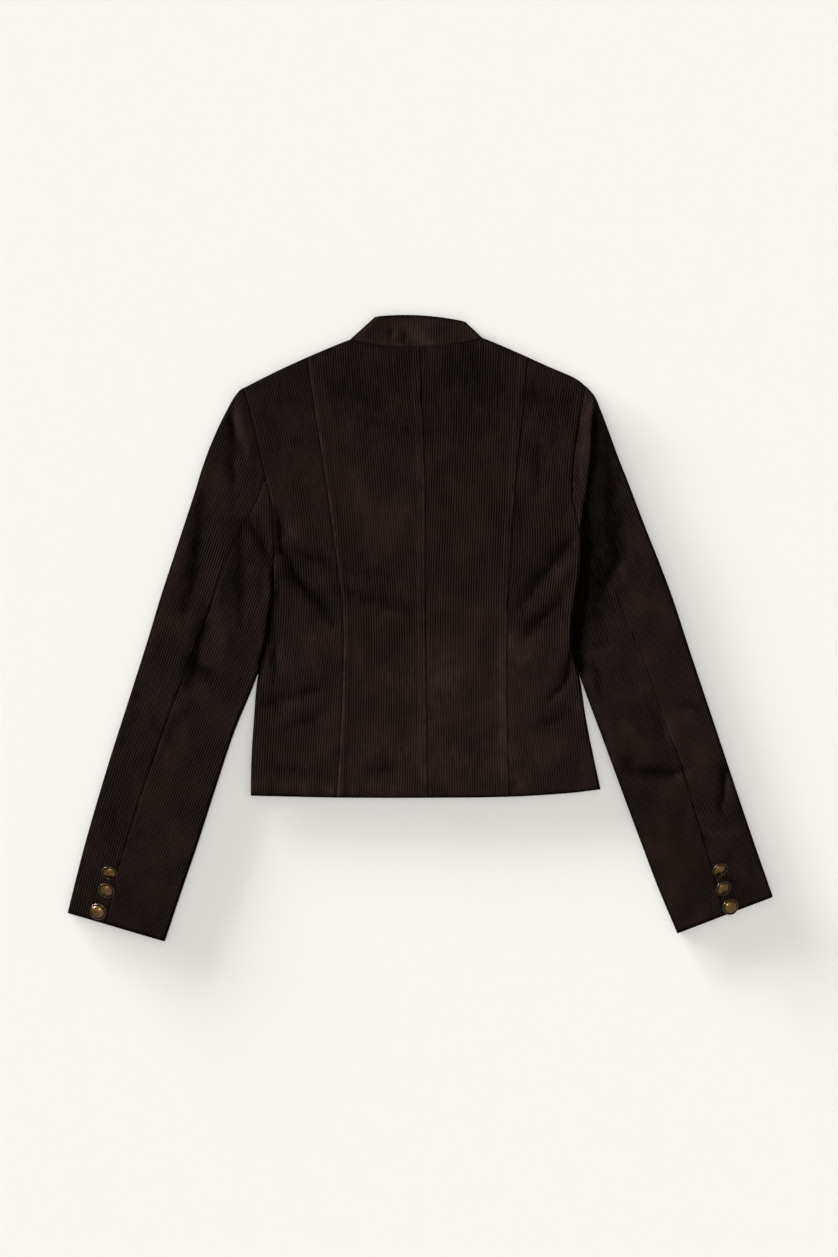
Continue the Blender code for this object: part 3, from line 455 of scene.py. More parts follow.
# Cuff buttons, turned in metal. Each row gives x and level of the middle of a button's rim, and how
# many degrees it leans and in which direction. A button that leans far rests on its rim, and the others
# on their shanks.
BUTTONS = (
    ("cuff_button_left_1", -346.9, -273.6, 36.0, 255.0),
    ("cuff_button_left_2", -350.6, -293.2, 28.0, 250.0),
    ("cuff_button_left_3", -359.8, -316.6, 14.0, 225.0),
    ("cuff_button_right_1", 333.6, -270.4, 40.0, 305.0),
    ("cuff_button_right_2", 338.0, -290.8, 36.0, 310.0),
    ("cuff_button_right_3", 345.8, -311.2, 20.0, 320.0),
)
BUTTON_RADIUS = 9.5 * MM
BUTTON_RIM_RADIUS = 0.8 * MM
BUTTON_RIM_LEVEL = 4.6 * MM
BUTTON_DOME_RADIUS = 7.4 * MM
BUTTON_DOME_RISE = 3.0 * MM
BUTTON_FLOOR_LEVEL = 4.1 * MM
BUTTON_SHANK_RADIUS = 1.6 * MM
BUTTON_SHANK_HEIGHT = 3.4 * MM
BUTTON_SEAT_GAP = 0.3 * MM
PATINA_START = 6.6 * MM
PATINA_REACH = 0.6 * MM
PATINA_WEAR = 0.5
BUTTON_DOME_STEPS = 12
BUTTON_RIM_STEPS = 12
BUTTON_RIM_TURN = 1.5 * math.pi
BUTTON_TURN_STEPS = 64
THREAD_RADIUS = 1.9 * MM
THREAD_TURNS = 4
THREAD_TURN_HEIGHT = 0.45 * MM
THREAD_STEPS_A_TURN = 6
THREAD_BELOW = 0.25 * MM

# Steps of the shapes that are worked out, and the least length that a normal is divided by
MEETING_ROUNDS = 10
ARMHOLE_SEARCH_FROM = 200.0 * MM
LOWEST_HEM = -190.0 * MM
WIDEST_LEVEL = -200.0 * MM
FIRST_LEVELS = (-185.0 * MM, 290.0 * MM)
SPARE_RIBS = 3
SLOPE_STEP = 1.0 * MM
LIFT_FADE = 12.0 * MM
LIFT_FADE_ROWS = 5
ROLL_RELIEF_END = 0.35
FRONT_SHOULDER_COLUMNS = 14
FRONT_NECK_COLUMNS = 16
LEAST_LENGTH = 1e-12

# Folds of the lower cloth, where it stands a little off the surface
LOWER_FOLDS = (
    (((-120, 60), (-80, 40), (-45, 25)), 0.9, 9.0),
    (((-110, -60), (-60, -90)), 0.7, 8.0),
    (((-60, 190), (-70, 150)), 0.8, 8.0),
    (((45, 180), (75, 140), (90, 100)), 0.9, 9.0),
    (((40, 20), (95, 0)), 0.7, 8.0),
    (((60, -110), (120, -90)), 0.8, 9.0),
    (((-230, 60), (-245, 10)), 0.8, 8.0),
    (((-260, -80), (-300, -130)), 0.9, 8.0),
    (((-310, -200), (-340, -240)), 0.7, 8.0),
    (((225, 80), (235, 30)), 0.8, 8.0),
    (((250, -70), (290, -110)), 0.9, 8.0),
    (((290, -190), (325, -230)), 0.7, 8.0),
)

# Small dimples of the collar beside its seam, and strokes that lighten or darken it: painted shade in the
# dimples, and lighter strokes elsewhere
COLLAR_FOLDS = (
    (((-34, 334), (-33, 325)), -1.0, 3.5),
    (((-18, 331), (-17, 321)), -1.0, 3.5),
    (((-26, 331), (-25, 322)), 0.7, 3.5),
    (((20, 336), (27, 326)), -0.6, 6.0),
)
COLLAR_DIMPLE_SHADE_AND_LIGHTER_STROKES = (
    (((-34, 334), (-33, 325)), -0.5, 2.6),
    (((-18, 331), (-17, 321)), -0.5, 2.6),
    (((-28, 338), (-5, 332), (8, 322)), 0.35, 10.0),
    (((-8, 324), (14, 319)), 0.35, 5.0),
    (((18, 338), (30, 328)), -0.3, 8.0),
    (((56, 336), (66, 328)), 0.35, 7.0),
    (((-52, 340), (-66, 328)), 0.2, 7.0),
)

# Colours, and where the nap's tones lie between them. The grooves are darker than the crests as painted
# shade between the ribs. Points whose tone is below 0 turn towards TONE_DARK, as painted shade and dark
# nap, and those above TONE_LIGHT_FROM turn towards TONE_LIGHT, as painted light and light nap.
DEEP_CREST = (0.0186, 0.0133, 0.0107)
LIT_CREST = (0.0218, 0.0130, 0.0112)
DEEP_GROOVE = (0.0016, 0.0010, 0.0007)
LIT_GROOVE = (0.0176, 0.0101, 0.0087)
TONE_LIGHT = (0.037, 0.0235, 0.0205)
TONE_DARK = (0.0016, 0.0012, 0.0008)
TONE_LIGHT_FROM = 0.35
BRUSH_LEAST = 0.04
BRUSH_SPAN = 0.66
BRASS = (0.178, 0.090, 0.017)
BRASS_DARK = (0.105, 0.053, 0.011)
PATINA = (0.012, 0.008, 0.005)
THREAD_COLOUR = (0.012, 0.008, 0.006)
FLOOR_COLOUR = (0.93, 0.905, 0.863)

# Surfaces. Each noise has a scale, a detail and a roughness. A mix node keeps its colours in these
# inputs and this output.
COLOUR_INPUTS = slice(6, 8)
COLOUR_OUTPUT = 2
PATCH_NOISE = (27.0, 5.0, 0.6)
RAGGED_NOISE = (95.0, 4.0, 0.6)
GRAIN_NOISE = (620.0, 2.0, 0.5)
STREAK_NOISE = (1.0, 2.0, 0.5)
PILE_NOISE = (1400.0, 2.0, 0.5)
WEAR_NOISE = (190.0, 2.0, 0.5)
METAL_GRAIN_NOISE = (2600.0, 2.0, 0.5)
STRAND_NOISE = (3000.0, 1.0, 0.5)
NOISE_BAND = (0.3, 0.7)
PATCH_BAND = (0.36, 0.66)
GROOVE_BAND = (0.1, 0.46)
RAGGED = (0.72, 1.28)
GRAIN = 0.13
STREAK_STRETCH = (1.0, 0.13, 1.0)
STREAKS = 0.14
CROSS_STRETCH = (0.22, 1.5, 1.0)
CROSS_STREAKS = 0.16
PILE_HEIGHT = 0.3 * MM
PILE_STRENGTH = 0.5
CLOTH_ROUGHNESS = 0.9
SHEEN = 0.02
SHEEN_ROUGHNESS = 0.5
SHEEN_TINT = (0.6, 0.36, 0.3)
METAL_ROUGHNESS = (0.32, 0.42)
LACQUER = 0.6
LACQUER_ROUGHNESS = 0.04
THREAD_ROUGHNESS = 0.8

# Light, ground and camera. Each lamp's row gives its strength, how wide it is, the direction that it
# shines from and how high it stands, in degrees. The key lamps stand side by side in a fan.
FLOOR_SIZE = 6.0
FLOOR_GAP = 0.1 * MM
SKY_BRIGHTNESS = 0.33
HORIZON_BRIGHTNESS = 1.05
HORIZON_BAND = (-0.05, 0.2)
KEY_COUNT = 6
KEY_SPREAD = 7.6
LAMPS = (
    *((f"key_{i + 1}", 1.7, 5.2, 120.0 + KEY_SPREAD * i, 4.7) for i in range(KEY_COUNT)),
    ("fill_light", 0.6, 100.0, 290.0, 62.0),
    ("catch_light", 0.78, 6.0, 160.0, 84.0),
)
CAMERA_LENS = 85.0
CAMERA_SENSOR = 36.0
CAMERA_REACH = 20.0
FRAME_HEIGHT = 1.408
CAMERA_X = -1.7 * MM
CAMERA_Y = -0.6 * MM


def smooth_line(places, values):
    """Return a function that runs smoothly through the values at their rising places."""
    places = np.array(places, float)
    values = np.array(values, float)
    last = len(places) - 1
    before = np.maximum(np.arange(last + 1) - 1, 0)
    after = np.minimum(np.arange(last + 1) + 1, last)
    slopes = (values[after] - values[before]) / (places[after] - places[before])

    def value_at(place):
        place = np.clip(place, places[0], places[last])
        i = np.clip(np.searchsorted(places, place, side="right") - 1, 0, last - 1)
        span = places[i + 1] - places[i]
        t = (place - places[i]) / span
        start = (1 + 2 * t) * (1 - t) ** 2 * values[i] + t * (1 - t) ** 2 * span * slopes[i]
        end = t * t * (3 - 2 * t) * values[i + 1] - t * t * (1 - t) * span * slopes[i + 1]
        return start + end

    return value_at


def table_line(rows, column=1, unit=MM):
    """Return a smooth function of a table's first column for another of its columns."""
    rows = sorted(rows)
    return smooth_line([row[0] * MM for row in rows], [row[column] * unit for row in rows])


def ease(share):
    """Go from 0 to 1 with a soft start and end."""
    share = np.clip(share, 0.0, 1.0)
    return share * share * (3 - 2 * share)


def mix(start, end, share):
    """Go from start to end."""
    return start + (end - start) * share


def arch(share):
    """Rise from 0 to 1 in the middle and fall to 0 again."""
    return 4 * share * (1 - share)


def joined(*parts):
    """Columns of a grid side by side. A part with one row stands for all rows."""
    parts = [np.atleast_2d(part) for part in parts]
    rows = max(len(part) for part in parts)
    return np.concatenate([np.broadcast_to(part, (rows, part.shape[1])) for part in parts], axis=1)


BODY_LINES = {name: table_line(BODY_SECTIONS, column) for column, name in enumerate(BODY_LINE_NAMES, 1)}
hem_level = table_line(HEM)
right_fold_x = table_line(RIGHT_FOLD)
fold_shade_width = table_line(FOLD_SHADE)


def bowed_level(x, start, end, bow):
    """Height at x on a shallow arc between two points of a table."""
    share = (x / MM - start[0]) / (end[0] - start[0])
    return (mix(start[1], end[1], share) + bow * arch(share)) * MM


def right_tip_bulge(x):
    """How much higher the right shoulder lies beside its tip, where it is rounder than an arc."""
    neck_x = NECKS["right"][0]
    share = np.clip((x / MM - neck_x) / (TIPS["right"][0] - neck_x), 0, 1)
    return RIGHT_TIP_BULGE * share**RIGHT_TIP_BULGE_POWER * (1 - share) * MM


def back_top_level(x):
    """Upper outline of the back: shoulder, neckline, shoulder."""
    left = bowed_level(x, TIPS["left"], NECKS["left"], SHOULDER_BOW)
    right = bowed_level(x, NECKS["right"], TIPS["right"], SHOULDER_BOW) + right_tip_bulge(x)
    neck = bowed_level(x, NECKS["left"], NECKS["right"], -BACK_NECK_DIP)
    return np.where(x < NECKS["left"][0] * MM, left, np.where(x > NECKS["right"][0] * MM, right, neck))


def shoulder_share(x):
    """1 on the shoulders, whose edge is rolled, and 0 at the neckline, fading beside the neck points."""
    outside = np.maximum(NECKS["left"][0] * MM - x, x - NECKS["right"][0] * MM)
    return ease(outside / (SHOULDER_ROLL_FADE * MM))


def side_share(side, level):
    """1 beside the free edge of body and sleeve, and 0 up the armhole, fading below the armpit."""
    return ease((ARMPIT_LEVEL[side] * MM - level) / (ARMPIT_FADE * MM))


def overlap_rise(x, level):
    """How the cloth stands up beside the right sleeve head's fold line and lies low beyond it. Below
    the armpit the whole fall is on the body's side of the line, and the sleeve lies low."""
    beyond = x - right_fold_x(level) + FOLD_LIP * MM * side_share("right", level)
    from_ends = np.minimum(level - RIGHT_FOLD[0][0] * MM, FOLD_TOP_LEVEL * MM - level)
    near = FOLD_RISE * MM * np.exp(np.minimum(beyond, 0.0) / (FOLD_RISE_REACH * MM))
    low = -FOLD_FALL * MM * np.exp(-np.maximum(beyond, 0.0) / (FOLD_FALL_REACH * MM))
    return ease(from_ends / (FOLD_FADE * MM)) * mix(near, low, ease(beyond / (FOLD_LIP * MM)))


def stroke(x, level, route, strength, half_width):
    """A soft bell across a route, weaker towards the route's ends."""
    x, level = x / MM, level / MM
    nearest = np.full(x.shape, np.inf)
    along = np.zeros(x.shape)
    done = 0.0
    for (start_x, start_level), (end_x, end_level) in zip(route, route[1:]):
        run_x, run_y = end_x - start_x, end_level - start_level
        length = math.hypot(run_x, run_y)
        from_x, from_y = x - start_x, level - start_level
        share = np.clip((from_x * run_x + from_y * run_y) / length**2, 0.0, 1.0)
        away = np.hypot(from_x - run_x * share, from_y - run_y * share)
        along = np.where(away < nearest, done + share * length, along)
        nearest = np.minimum(away, nearest)
        done += length
    strength = strength * mix(FOLD_END_STRENGTH, 1.0, arch(along / done))
    return strength * np.exp(-((nearest / half_width) ** FOLD_SHARPNESS))


def fold_rise(x, level, folds):
    """Rise of all the folds of a table."""
    return MM * sum(stroke(x, level, *fold) for fold in folds)


def unevenness(x, level):
    """Soft waves of cloth that was laid down by hand."""
    total = 0.0
    for length, direction, phase, height in WAVES:
        angle = math.radians(direction)
        place = (x * math.cos(angle) + level * math.sin(angle)) / (length * MM)
        total = total + height * MM * np.sin(math.tau * place + phase)
    return total


def upper_height(x, level):
    """Height of the upper cloth's outer face, away from its seams and edges."""
    rise = overlap_rise(x, level) + unevenness(x, level) + fold_rise(x, level, FOLDS)
    return np.maximum(LIE_HEIGHT + rise, LOWEST_UPPER_CLOTH)


def stroke_shade_light_and_nap(x, level, strokes):
    """Tone where the strokes of a table, whose edges are uneven, lighten or darken the cloth: painted
    shade, painted light and nap.
    """
    across = x / (STROKE_WANDER_LENGTH * MM)
    along = level / (STROKE_WANDER_LENGTH * MM)
    bend_x, turn_y, bend_y = STROKE_WANDER_TURNS
    wander_x = np.sin(along + np.sin(bend_x * across))
    wander_y = np.sin(turn_y * across + np.sin(bend_y * along))
    total = 0.0
    for route, tone, half_width in strokes:
        reach = STROKE_WANDER * half_width * MM
        total = total + stroke(x + reach * wander_x, level + reach * wander_y, route, tone, half_width)
    return total


def upper_shade_light_and_nap(x, level):
    """Tone of the upper cloth: its strokes of painted shade, painted light and nap, and the painted shadow
    beyond the right sleeve head's fold.
    """
    beyond = x - right_fold_x(level)
    starts = ease(beyond / FOLD_SHADE_START)
    ends = 1 - ease((beyond - fold_shade_width(level)) / FOLD_SHADE_END)
    from_ends = np.minimum(level - FOLD_SHADE[0][0] * MM, FOLD_SHADE[-1][0] * MM - level)
    shade = FOLD_SHADE_TONE * starts * ends * ease(from_ends / (FOLD_FADE * MM))
    return stroke_shade_light_and_nap(x, level, SHADE_LIGHT_AND_NAP_STROKES) + shade


def seam_dip(distance):
    """How far the cloth rolls down towards a seam."""
    return SEAM_DIP * (1 - np.clip(distance / SEAM_DIP_WIDTH, 0.0, 1.0)) ** 2


def seam_ridge(distance):
    """How far the seam allowances raise the cloth that lies on them."""
    beyond_flat = distance / SEAM_RIDGE_WIDTH - SEAM_RIDGE_FLAT
    return SEAM_RIDGE * (1 - ease(beyond_flat / (1 - SEAM_RIDGE_FLAT)))


def seam_relief(distance):
    """How much of the ribs' height is left at a distance from a seam, which presses them."""
    return mix(RIB_LEAST_AT_SEAM, 1.0, ease(distance / SEAM_DIP_WIDTH))


def edge_drop(distance):
    """How far a cut edge's outer face rounds down."""
    away = np.clip(distance / ROUND_STEPS[-1], 0.0, 1.0)
    return ROUND_DROP * (1 - np.sqrt(1 - (1 - away) ** 2))


def turn_up_thickness(distance):
    """Thickness of the cloth at a distance in from a hem, where it is turned up."""
    return mix(TURN_UP_THICKNESS, CLOTH_THICKNESS, ease((distance - TURN_UP_DEPTH) / TURN_UP_STEP))


def turn_up_rise(distance):
    """How far a turned up hem lifts the cloth over it, at a distance in from the hem."""
    return TURN_UP_RISE * ease((TURN_UP_DEPTH - distance) / TURN_UP_RISE_REACH)


# Turns of a rolled edge's steps: 0 at the foot of the roll, 1 where it has come level
ROLL_TURNS = np.arange(ROLL_STEPS + 1) / ROLL_STEPS


def roll_distance(turn, share):
    """Distance of a step from the edge, where the edge is rolled by share."""
    return mix(ROLL * turn, ROLL * (1 - np.cos(turn * math.pi / 2)), share)


def unrolled_reach(turn, share):
    """How much further from the middle of the panel a step is on the cloth than seen from above."""
    arc = ROLL * (1 - turn) * mix(1.0, math.pi / 2, share)
    return arc - (ROLL - roll_distance(turn, share))


def rolled_height(start, turn, share, middle):
    """Height of a point on an edge that is rolled by share, from its start height towards the middle,
    where the upper and the lower cloth meet."""
    meet = middle + np.sign(start - middle) * ROLL_GAP / 2
    return mix(start, mix(meet, start, np.sin(turn * math.pi / 2)), share)


def edge_turns(is_rolled):
    """Turns of an edge's columns. A seam's columns lie level."""
    return ROLL_TURNS if is_rolled else np.ones(len(SEAM_STEPS))


def edge_steps(is_rolled, share):
    """Distances of an edge's columns from the edge."""
    return roll_distance(ROLL_TURNS, share) if is_rolled else np.array([SEAM_STEPS])


def line_tone(distance, tone, width):
    """Tone of a thin line at an edge, darker than the cloth where it is below 0 and lighter above."""
    return tone * np.exp(-((distance / width) ** 2))


def edge_shade(*edges):
    """Tone of the shade along free edges, each with the distance from it and how much of it is free."""
    total = sum(line_tone(distance, share, EDGE_SHADE_WIDTH) for distance, share in edges)
    return EDGE_SHADE * np.minimum(total, 1.0)


def seam_breaks(level):
    """How a seam's line comes and goes along it."""
    turn = math.tau * level / SEAM_BREAKS_LENGTH
    swing = SEAM_BREAKS_SWING * np.sin(SEAM_BREAKS_DRIFT * turn)
    return 1 - SEAM_BREAKS_DEPTH * (1 + np.sin(turn + swing))


def seam_line(distance, tone):
    """Tone of a seam's line. A light one is a little in from the edge and is painted light on the raised
    edge, with pressed pile on the back's seams. A dark one is at the edge and is painted shade in the
    seam.
    """
    return line_tone(distance - (SEAM_LIGHT_FROM if tone > 0 else 0.0), tone, SEAM_LINE_WIDTH)


def elbow_shown(side, level):
    """How much of the elbow seam shows."""
    return table_line(ELBOW_SHOWN[side], unit=1.0)(level)


def elbow_dip(side, level, distance):
    """How far the cloth rolls down towards the elbow seam, which is less where little of it shows."""
    return seam_dip(distance) * mix(ELBOW_LEAST_DIP, 1.0, elbow_shown(side, level))


def elbow_seam_shade(side, level):
    """Painted shade in the elbow seam's groove, which comes and goes along the sleeve."""
    return ELBOW_SEAM_SHADE * elbow_shown(side, level) * seam_breaks(level)


def rib_form(rib):
    """Height of a rib as a share of its depth, 0 in the grooves at whole numbers and 1 on the crests."""
    return 1 - (np.abs(rib - np.floor(rib) - 0.5) * 2) ** RIB_SHARPNESS


def rib_places(low, high):
    """Places of the columns between two distances from the guide, in whole ribs."""
    ribs = range(math.floor(low / RIB_PITCH), math.ceil(high / RIB_PITCH))
    return np.array([(rib + place) * RIB_PITCH for rib in ribs for place in RIB_PLACES])


class Grid:
    """Points of one piece of cloth in rows and columns. Rib is their place across the weave, in rib
    pitches, and relief says how much of the ribs' height they have. Owner gives the column that each
    point is merged into."""

    def __init__(self, x, y, z, rib, relief, thickness, tone, owner=None):
        self.x, self.y, self.z = np.broadcast_arrays(x, y, z)
        self.rib, self.relief, self.thickness, self.tone = (
            np.broadcast_to(value, self.x.shape) for value in (rib, relief, thickness, tone)
        )
        self.owner = np.arange(self.x.shape[1]) if owner is None else owner


def merged_owner(columns, first, at_low, at_high):
    """Owners of a grid's points, where the columns from first on are clamped: the points that lie on
    the low limit join the column before first, and those on the high limit the column after the last."""
    owner = np.tile(np.arange(columns), (len(at_low), 1))
    last = first + at_low.shape[1]
    owner[:, first:last][at_low] = first - 1
    owner[:, first:last][at_high] = last
    return owner


def drop_repeats(corners):
    """The corners of a face without those that repeat the one before them."""
    kept = [corner for i, corner in enumerate(corners) if corner != corners[i - 1]]
    return kept if len(kept) > 2 else None


def point_normals(points, quads):
    """Unit normals of the points of a grid of quads."""
    facing = np.cross(points[quads[:, 2]] - points[quads[:, 0]], points[quads[:, 3]] - points[quads[:, 1]])
    normals = np.zeros_like(points)
    for corner in quads.T:
        for axis in range(3):
            normals[:, axis] += np.bincount(corner, facing[:, axis], len(points))
    return normals / np.maximum(np.linalg.norm(normals, axis=1), LEAST_LENGTH)[:, None]


def add_object(name, data):
    """Put an object into the scene."""
    item = bpy.data.objects.new(name, data)
    bpy.context.scene.collection.objects.link(item)
    return item


def smooth_piece(name, points, faces, material):
    """Make a smooth piece."""
    mesh = bpy.data.meshes.new(name)
    mesh.from_pydata(points, [], faces)
    mesh.materials.append(material)
    mesh.shade_smooth()
    return add_object(name, mesh)


def set_point_values(mesh, name, values):
    """Give each point of a mesh a value that its material reads."""
    mesh.attributes.new(name, "FLOAT", "POINT").data.foreach_set("value", values)


def shell(name, grid, flip, material):
    """Make the closed shell of a piece: its ribbed outer face, its plain inner face and its rim."""
    count_rows, count_columns = grid.x.shape
    index = np.arange(count_rows)[:, None] * count_columns + grid.owner
    plain = np.stack((grid.x, grid.y, grid.z), axis=-1).reshape(-1, 3)
    around = (index[:-1, :-1], index[:-1, 1:], index[1:, 1:], index[1:, :-1])
    quads = np.stack([corner.ravel() for corner in around], axis=1)
    edge = np.concatenate((index[0, :], index[1:, -1], index[-1, -2::-1], index[-2:0:-1, 0]))
    edge = edge[edge != np.roll(edge, 1)]
    if flip:
        quads = quads[:, ::-1]
        edge = edge[::-1]

    normals = point_normals(plain, quads)
    raised = (RIB_PROUD + RIB_DEPTH * (rib_form(grid.rib) - 1)) * grid.relief
    outer = plain + normals * raised.reshape(-1, 1)
    inner = plain - normals * grid.thickness.reshape(-1, 1)

    total = len(plain)
    faces = [face for face in map(drop_repeats, quads.tolist()) if face]
    inside = [[corner + total for corner in face[::-1]] for face in faces]
    following = np.roll(edge, -1)
    rim = np.stack((following, edge, edge + total, following + total), axis=1).tolist()

    used = np.unique(np.concatenate((quads.ravel(), edge)))
    used = np.concatenate((used, used + total))
    place = np.zeros(2 * total, int)
    place[used] = np.arange(len(used))
    faces = [[int(place[corner]) for corner in face] for face in faces + inside + rim]
    piece = smooth_piece(name, np.concatenate((outer, inner))[used].tolist(), faces, material)

    mesh = piece.data
    weave = np.stack((grid.rib, grid.y / RIB_PITCH), axis=-1).reshape(-1, 2)
    weave = np.concatenate((weave, weave))[used]
    corners = np.zeros(len(mesh.loops), np.int32)
    mesh.loops.foreach_get("vertex_index", corners)
    mesh.uv_layers.new(name="weave").data.foreach_set("uv", weave[corners].astype(np.float32).ravel())
    # The points' tone, which the cloth's material reads, holds painted shade and painted light with the
    # nap's tones
    tone = np.concatenate((grid.tone.ravel(), grid.tone.ravel()))[used]
    set_point_values(mesh, "tone", tone.astype(np.float32))
    return piece


def hem_rows(length):
    """Rows of a body panel from the hem up: share of the way, distance in from the hem, and turn of the
    roll at the upper edge."""
    count = round(length / ROW_STEP)
    rows = [(0.0, step, 1.0) for step in ROUND_STEPS[:-1]]
    rows += [(i / count, ROUND_STEPS[-1], 1.0) for i in range(count)]
    rows += [(1.0, ROUND_STEPS[-1], turn) for turn in ROLL_TURNS[::-1]]
    return np.array(rows).T[:, :, None]


def back_panel(left_name, right_name, side, raised_left, raised_right, left_tone, right_tone):
    """Grid of one panel of the back, in rows from the hem up and columns from left to right."""
    inset = SEAM_GAP / 2
    left_line = BODY_LINES[left_name]
    right_line = BODY_LINES[right_name]
    middle_x = (left_line(0.0) + right_line(0.0)) / 2
    share, from_hem, row_turn = hem_rows(float(back_top_level(middle_x) - hem_level(middle_x)))
    half = float(right_line(WIDEST_LEVEL) - left_line(WIDEST_LEVEL)) / 2 + SPARE_RIBS * RIB_PITCH
    places = rib_places(-half, half)
    left_turns = edge_turns(side == "left")
    right_turns = edge_turns(side == "right")
    first = len(left_turns)
    last = first + len(places)

    y = np.tile(mix(*FIRST_LEVELS, share), last + len(right_turns))
    for _ in range(MEETING_ROUNDS):
        left = left_line(y) + inset
        right = right_line(y) - inset
        free = side_share(side, y[:, :1]) if side else 0.0
        left_steps = edge_steps(side == "left", free)
        right_steps = edge_steps(side == "right", free)
        middle_left = left[:, first:last]
        middle_right = right[:, first:last]
        low = middle_left + left_steps[:, -1:]
        high = middle_right - right_steps[:, -1:]
        wanted = (middle_left + middle_right) / 2 + places
        at_left = left[:, :first] + left_steps
        at_right = right[:, last:] - right_steps[:, ::-1]
        x = joined(at_left, np.clip(wanted, low, high), at_right)
        shoulder = shoulder_share(x)
        top = back_top_level(x) - inset * (1 - shoulder)
        y = mix(hem_level(x) + from_hem, top - roll_distance(row_turn, shoulder), share)

    from_left = x - left
    from_right = right - x
    from_top = top - y
    from_hem = y - hem_level(x)
    sewn_left = 1 - free if side == "left" else 1.0
    sewn_right = 1 - free if side == "right" else 1.0
    left_dip = seam_dip(from_left) * mix(1.0, RAISED_DIP_SHARE, raised_left) * sewn_left
    right_dip = seam_dip(from_right) * mix(1.0, RAISED_DIP_SHARE, raised_right) * sewn_right
    z = upper_height(x, y) - np.maximum(left_dip, right_dip)
    z = z + raised_left * seam_ridge(from_left) + raised_right * seam_ridge(from_right)
    z = z - seam_dip(from_top) * (1 - shoulder)
    column_turn = np.concatenate((left_turns, np.ones(len(places)), right_turns[::-1]))
    edge_x = left[:, :1] if side == "left" else right[:, -1:]
    z = rolled_height(z, column_turn, free, upper_height(edge_x, y[:, :1]) / 2)
    z = rolled_height(z, row_turn, shoulder, upper_height(x, top) / 2)
    z = z + turn_up_rise(from_hem) - edge_drop(from_hem)

    left_further = unrolled_reach(left_turns, free)
    right_further = unrolled_reach(right_turns, free)[..., ::-1]
    further = joined(-left_further, 0.0 * wanted, right_further)
    rib = (x + further - (left + right) / 2) / RIB_PITCH
    relief = seam_relief(np.minimum(from_left * (2 - sewn_left), from_right * (2 - sewn_right)))
    # Tones: seam lines of painted shade, and of painted light with pressed pile, painted shade below the
    # neckline and along free edges, and the strokes of painted shade, light and nap
    tone = seam_line(from_left, left_tone) * sewn_left + seam_line(from_right, right_tone) * sewn_right
    tone = tone * seam_breaks(y) + line_tone(from_top, NECK_SHADE, SEAM_DIP_WIDTH) * (1 - shoulder)
    sides = (from_left, 1 - sewn_left), (from_right, 1 - sewn_right)
    tone = tone + upper_shade_light_and_nap(x, y) + edge_shade((from_hem, 1.0), (from_top, shoulder), *sides)
    owner = merged_owner(x.shape[1], first, wanted <= low, wanted >= high)
    return Grid(x, y, z, rib, relief, turn_up_thickness(from_hem), tone, owner)


def line_end(name, outline):
    """Height at which a line of the body meets the hem or the upper outline."""
    level = 0.0
    for _ in range(MEETING_ROUNDS):
        level = float(outline(BODY_LINES[name](level)))
    return level


class Sections:
    """The sections across one sleeve at a column of levels."""

    def __init__(self, side, level):
        sign = SIGNS[side]
        edge = BODY_LINES[side + "_edge"]
        rows = []
        for row_level, inner, *others in SLEEVES[side]:
            beside = float(edge(row_level * MM)) / MM
            rows.append((row_level, beside if inner is None else inner, *others))
        inner_x, outer_x, outer_y, elbow = (
            table_line(rows, column, unit) for column, unit in enumerate(SLEEVE_UNITS, 1)
        )
        beside = edge(level) - sign * SEAM_GAP / 2
        own = sign * np.minimum(sign * beside, sign * inner_x(level))
        self.inner_x = np.where(level > SLEEVE_FREE_FROM[side] * MM, beside, own)
        self.inner_y = level
        run_x = outer_x(level) - self.inner_x
        run_y = outer_y(level) - level
        self.width = np.hypot(run_x, run_y)
        self.toward_x = run_x / self.width
        self.toward_y = run_y / self.width
        self.elbow = elbow(level) * self.width
        self.free = side_share(side, level)
        along_x = outer_x(level + SLOPE_STEP) - outer_x(level - SLOPE_STEP)
        along_y = outer_y(level + SLOPE_STEP) - outer_y(level - SLOPE_STEP)
        aside = np.abs(self.toward_x * along_y - self.toward_y * along_x)
        self.across = aside / np.hypot(along_x, along_y)

    def place(self, reach):
        """Plan place at a reach from the sections' inner ends."""
        return self.inner_x + self.toward_x * reach, self.inner_y + self.toward_y * reach

    def upper(self, reach):
        """Height of the upper cloth at a reach from the inner ends."""
        return upper_height(*self.place(reach))


def cuff_level(side):
    """Level of a sleeve's last section."""
    return SLEEVES[side][-1][0] * MM


def sleeve_levels(side, from_level):
    """Levels of a sleeve's rows, from one level down to the cuff, whose edge is rounded."""
    cuff = cuff_level(side)
    count = round((from_level - cuff) / ROW_STEP)
    levels = list(np.linspace(from_level, cuff + ROUND_STEPS[-1], count))
    levels += [cuff + step for step in ROUND_STEPS[-2::-1]]
    return np.array(levels)[:, None]


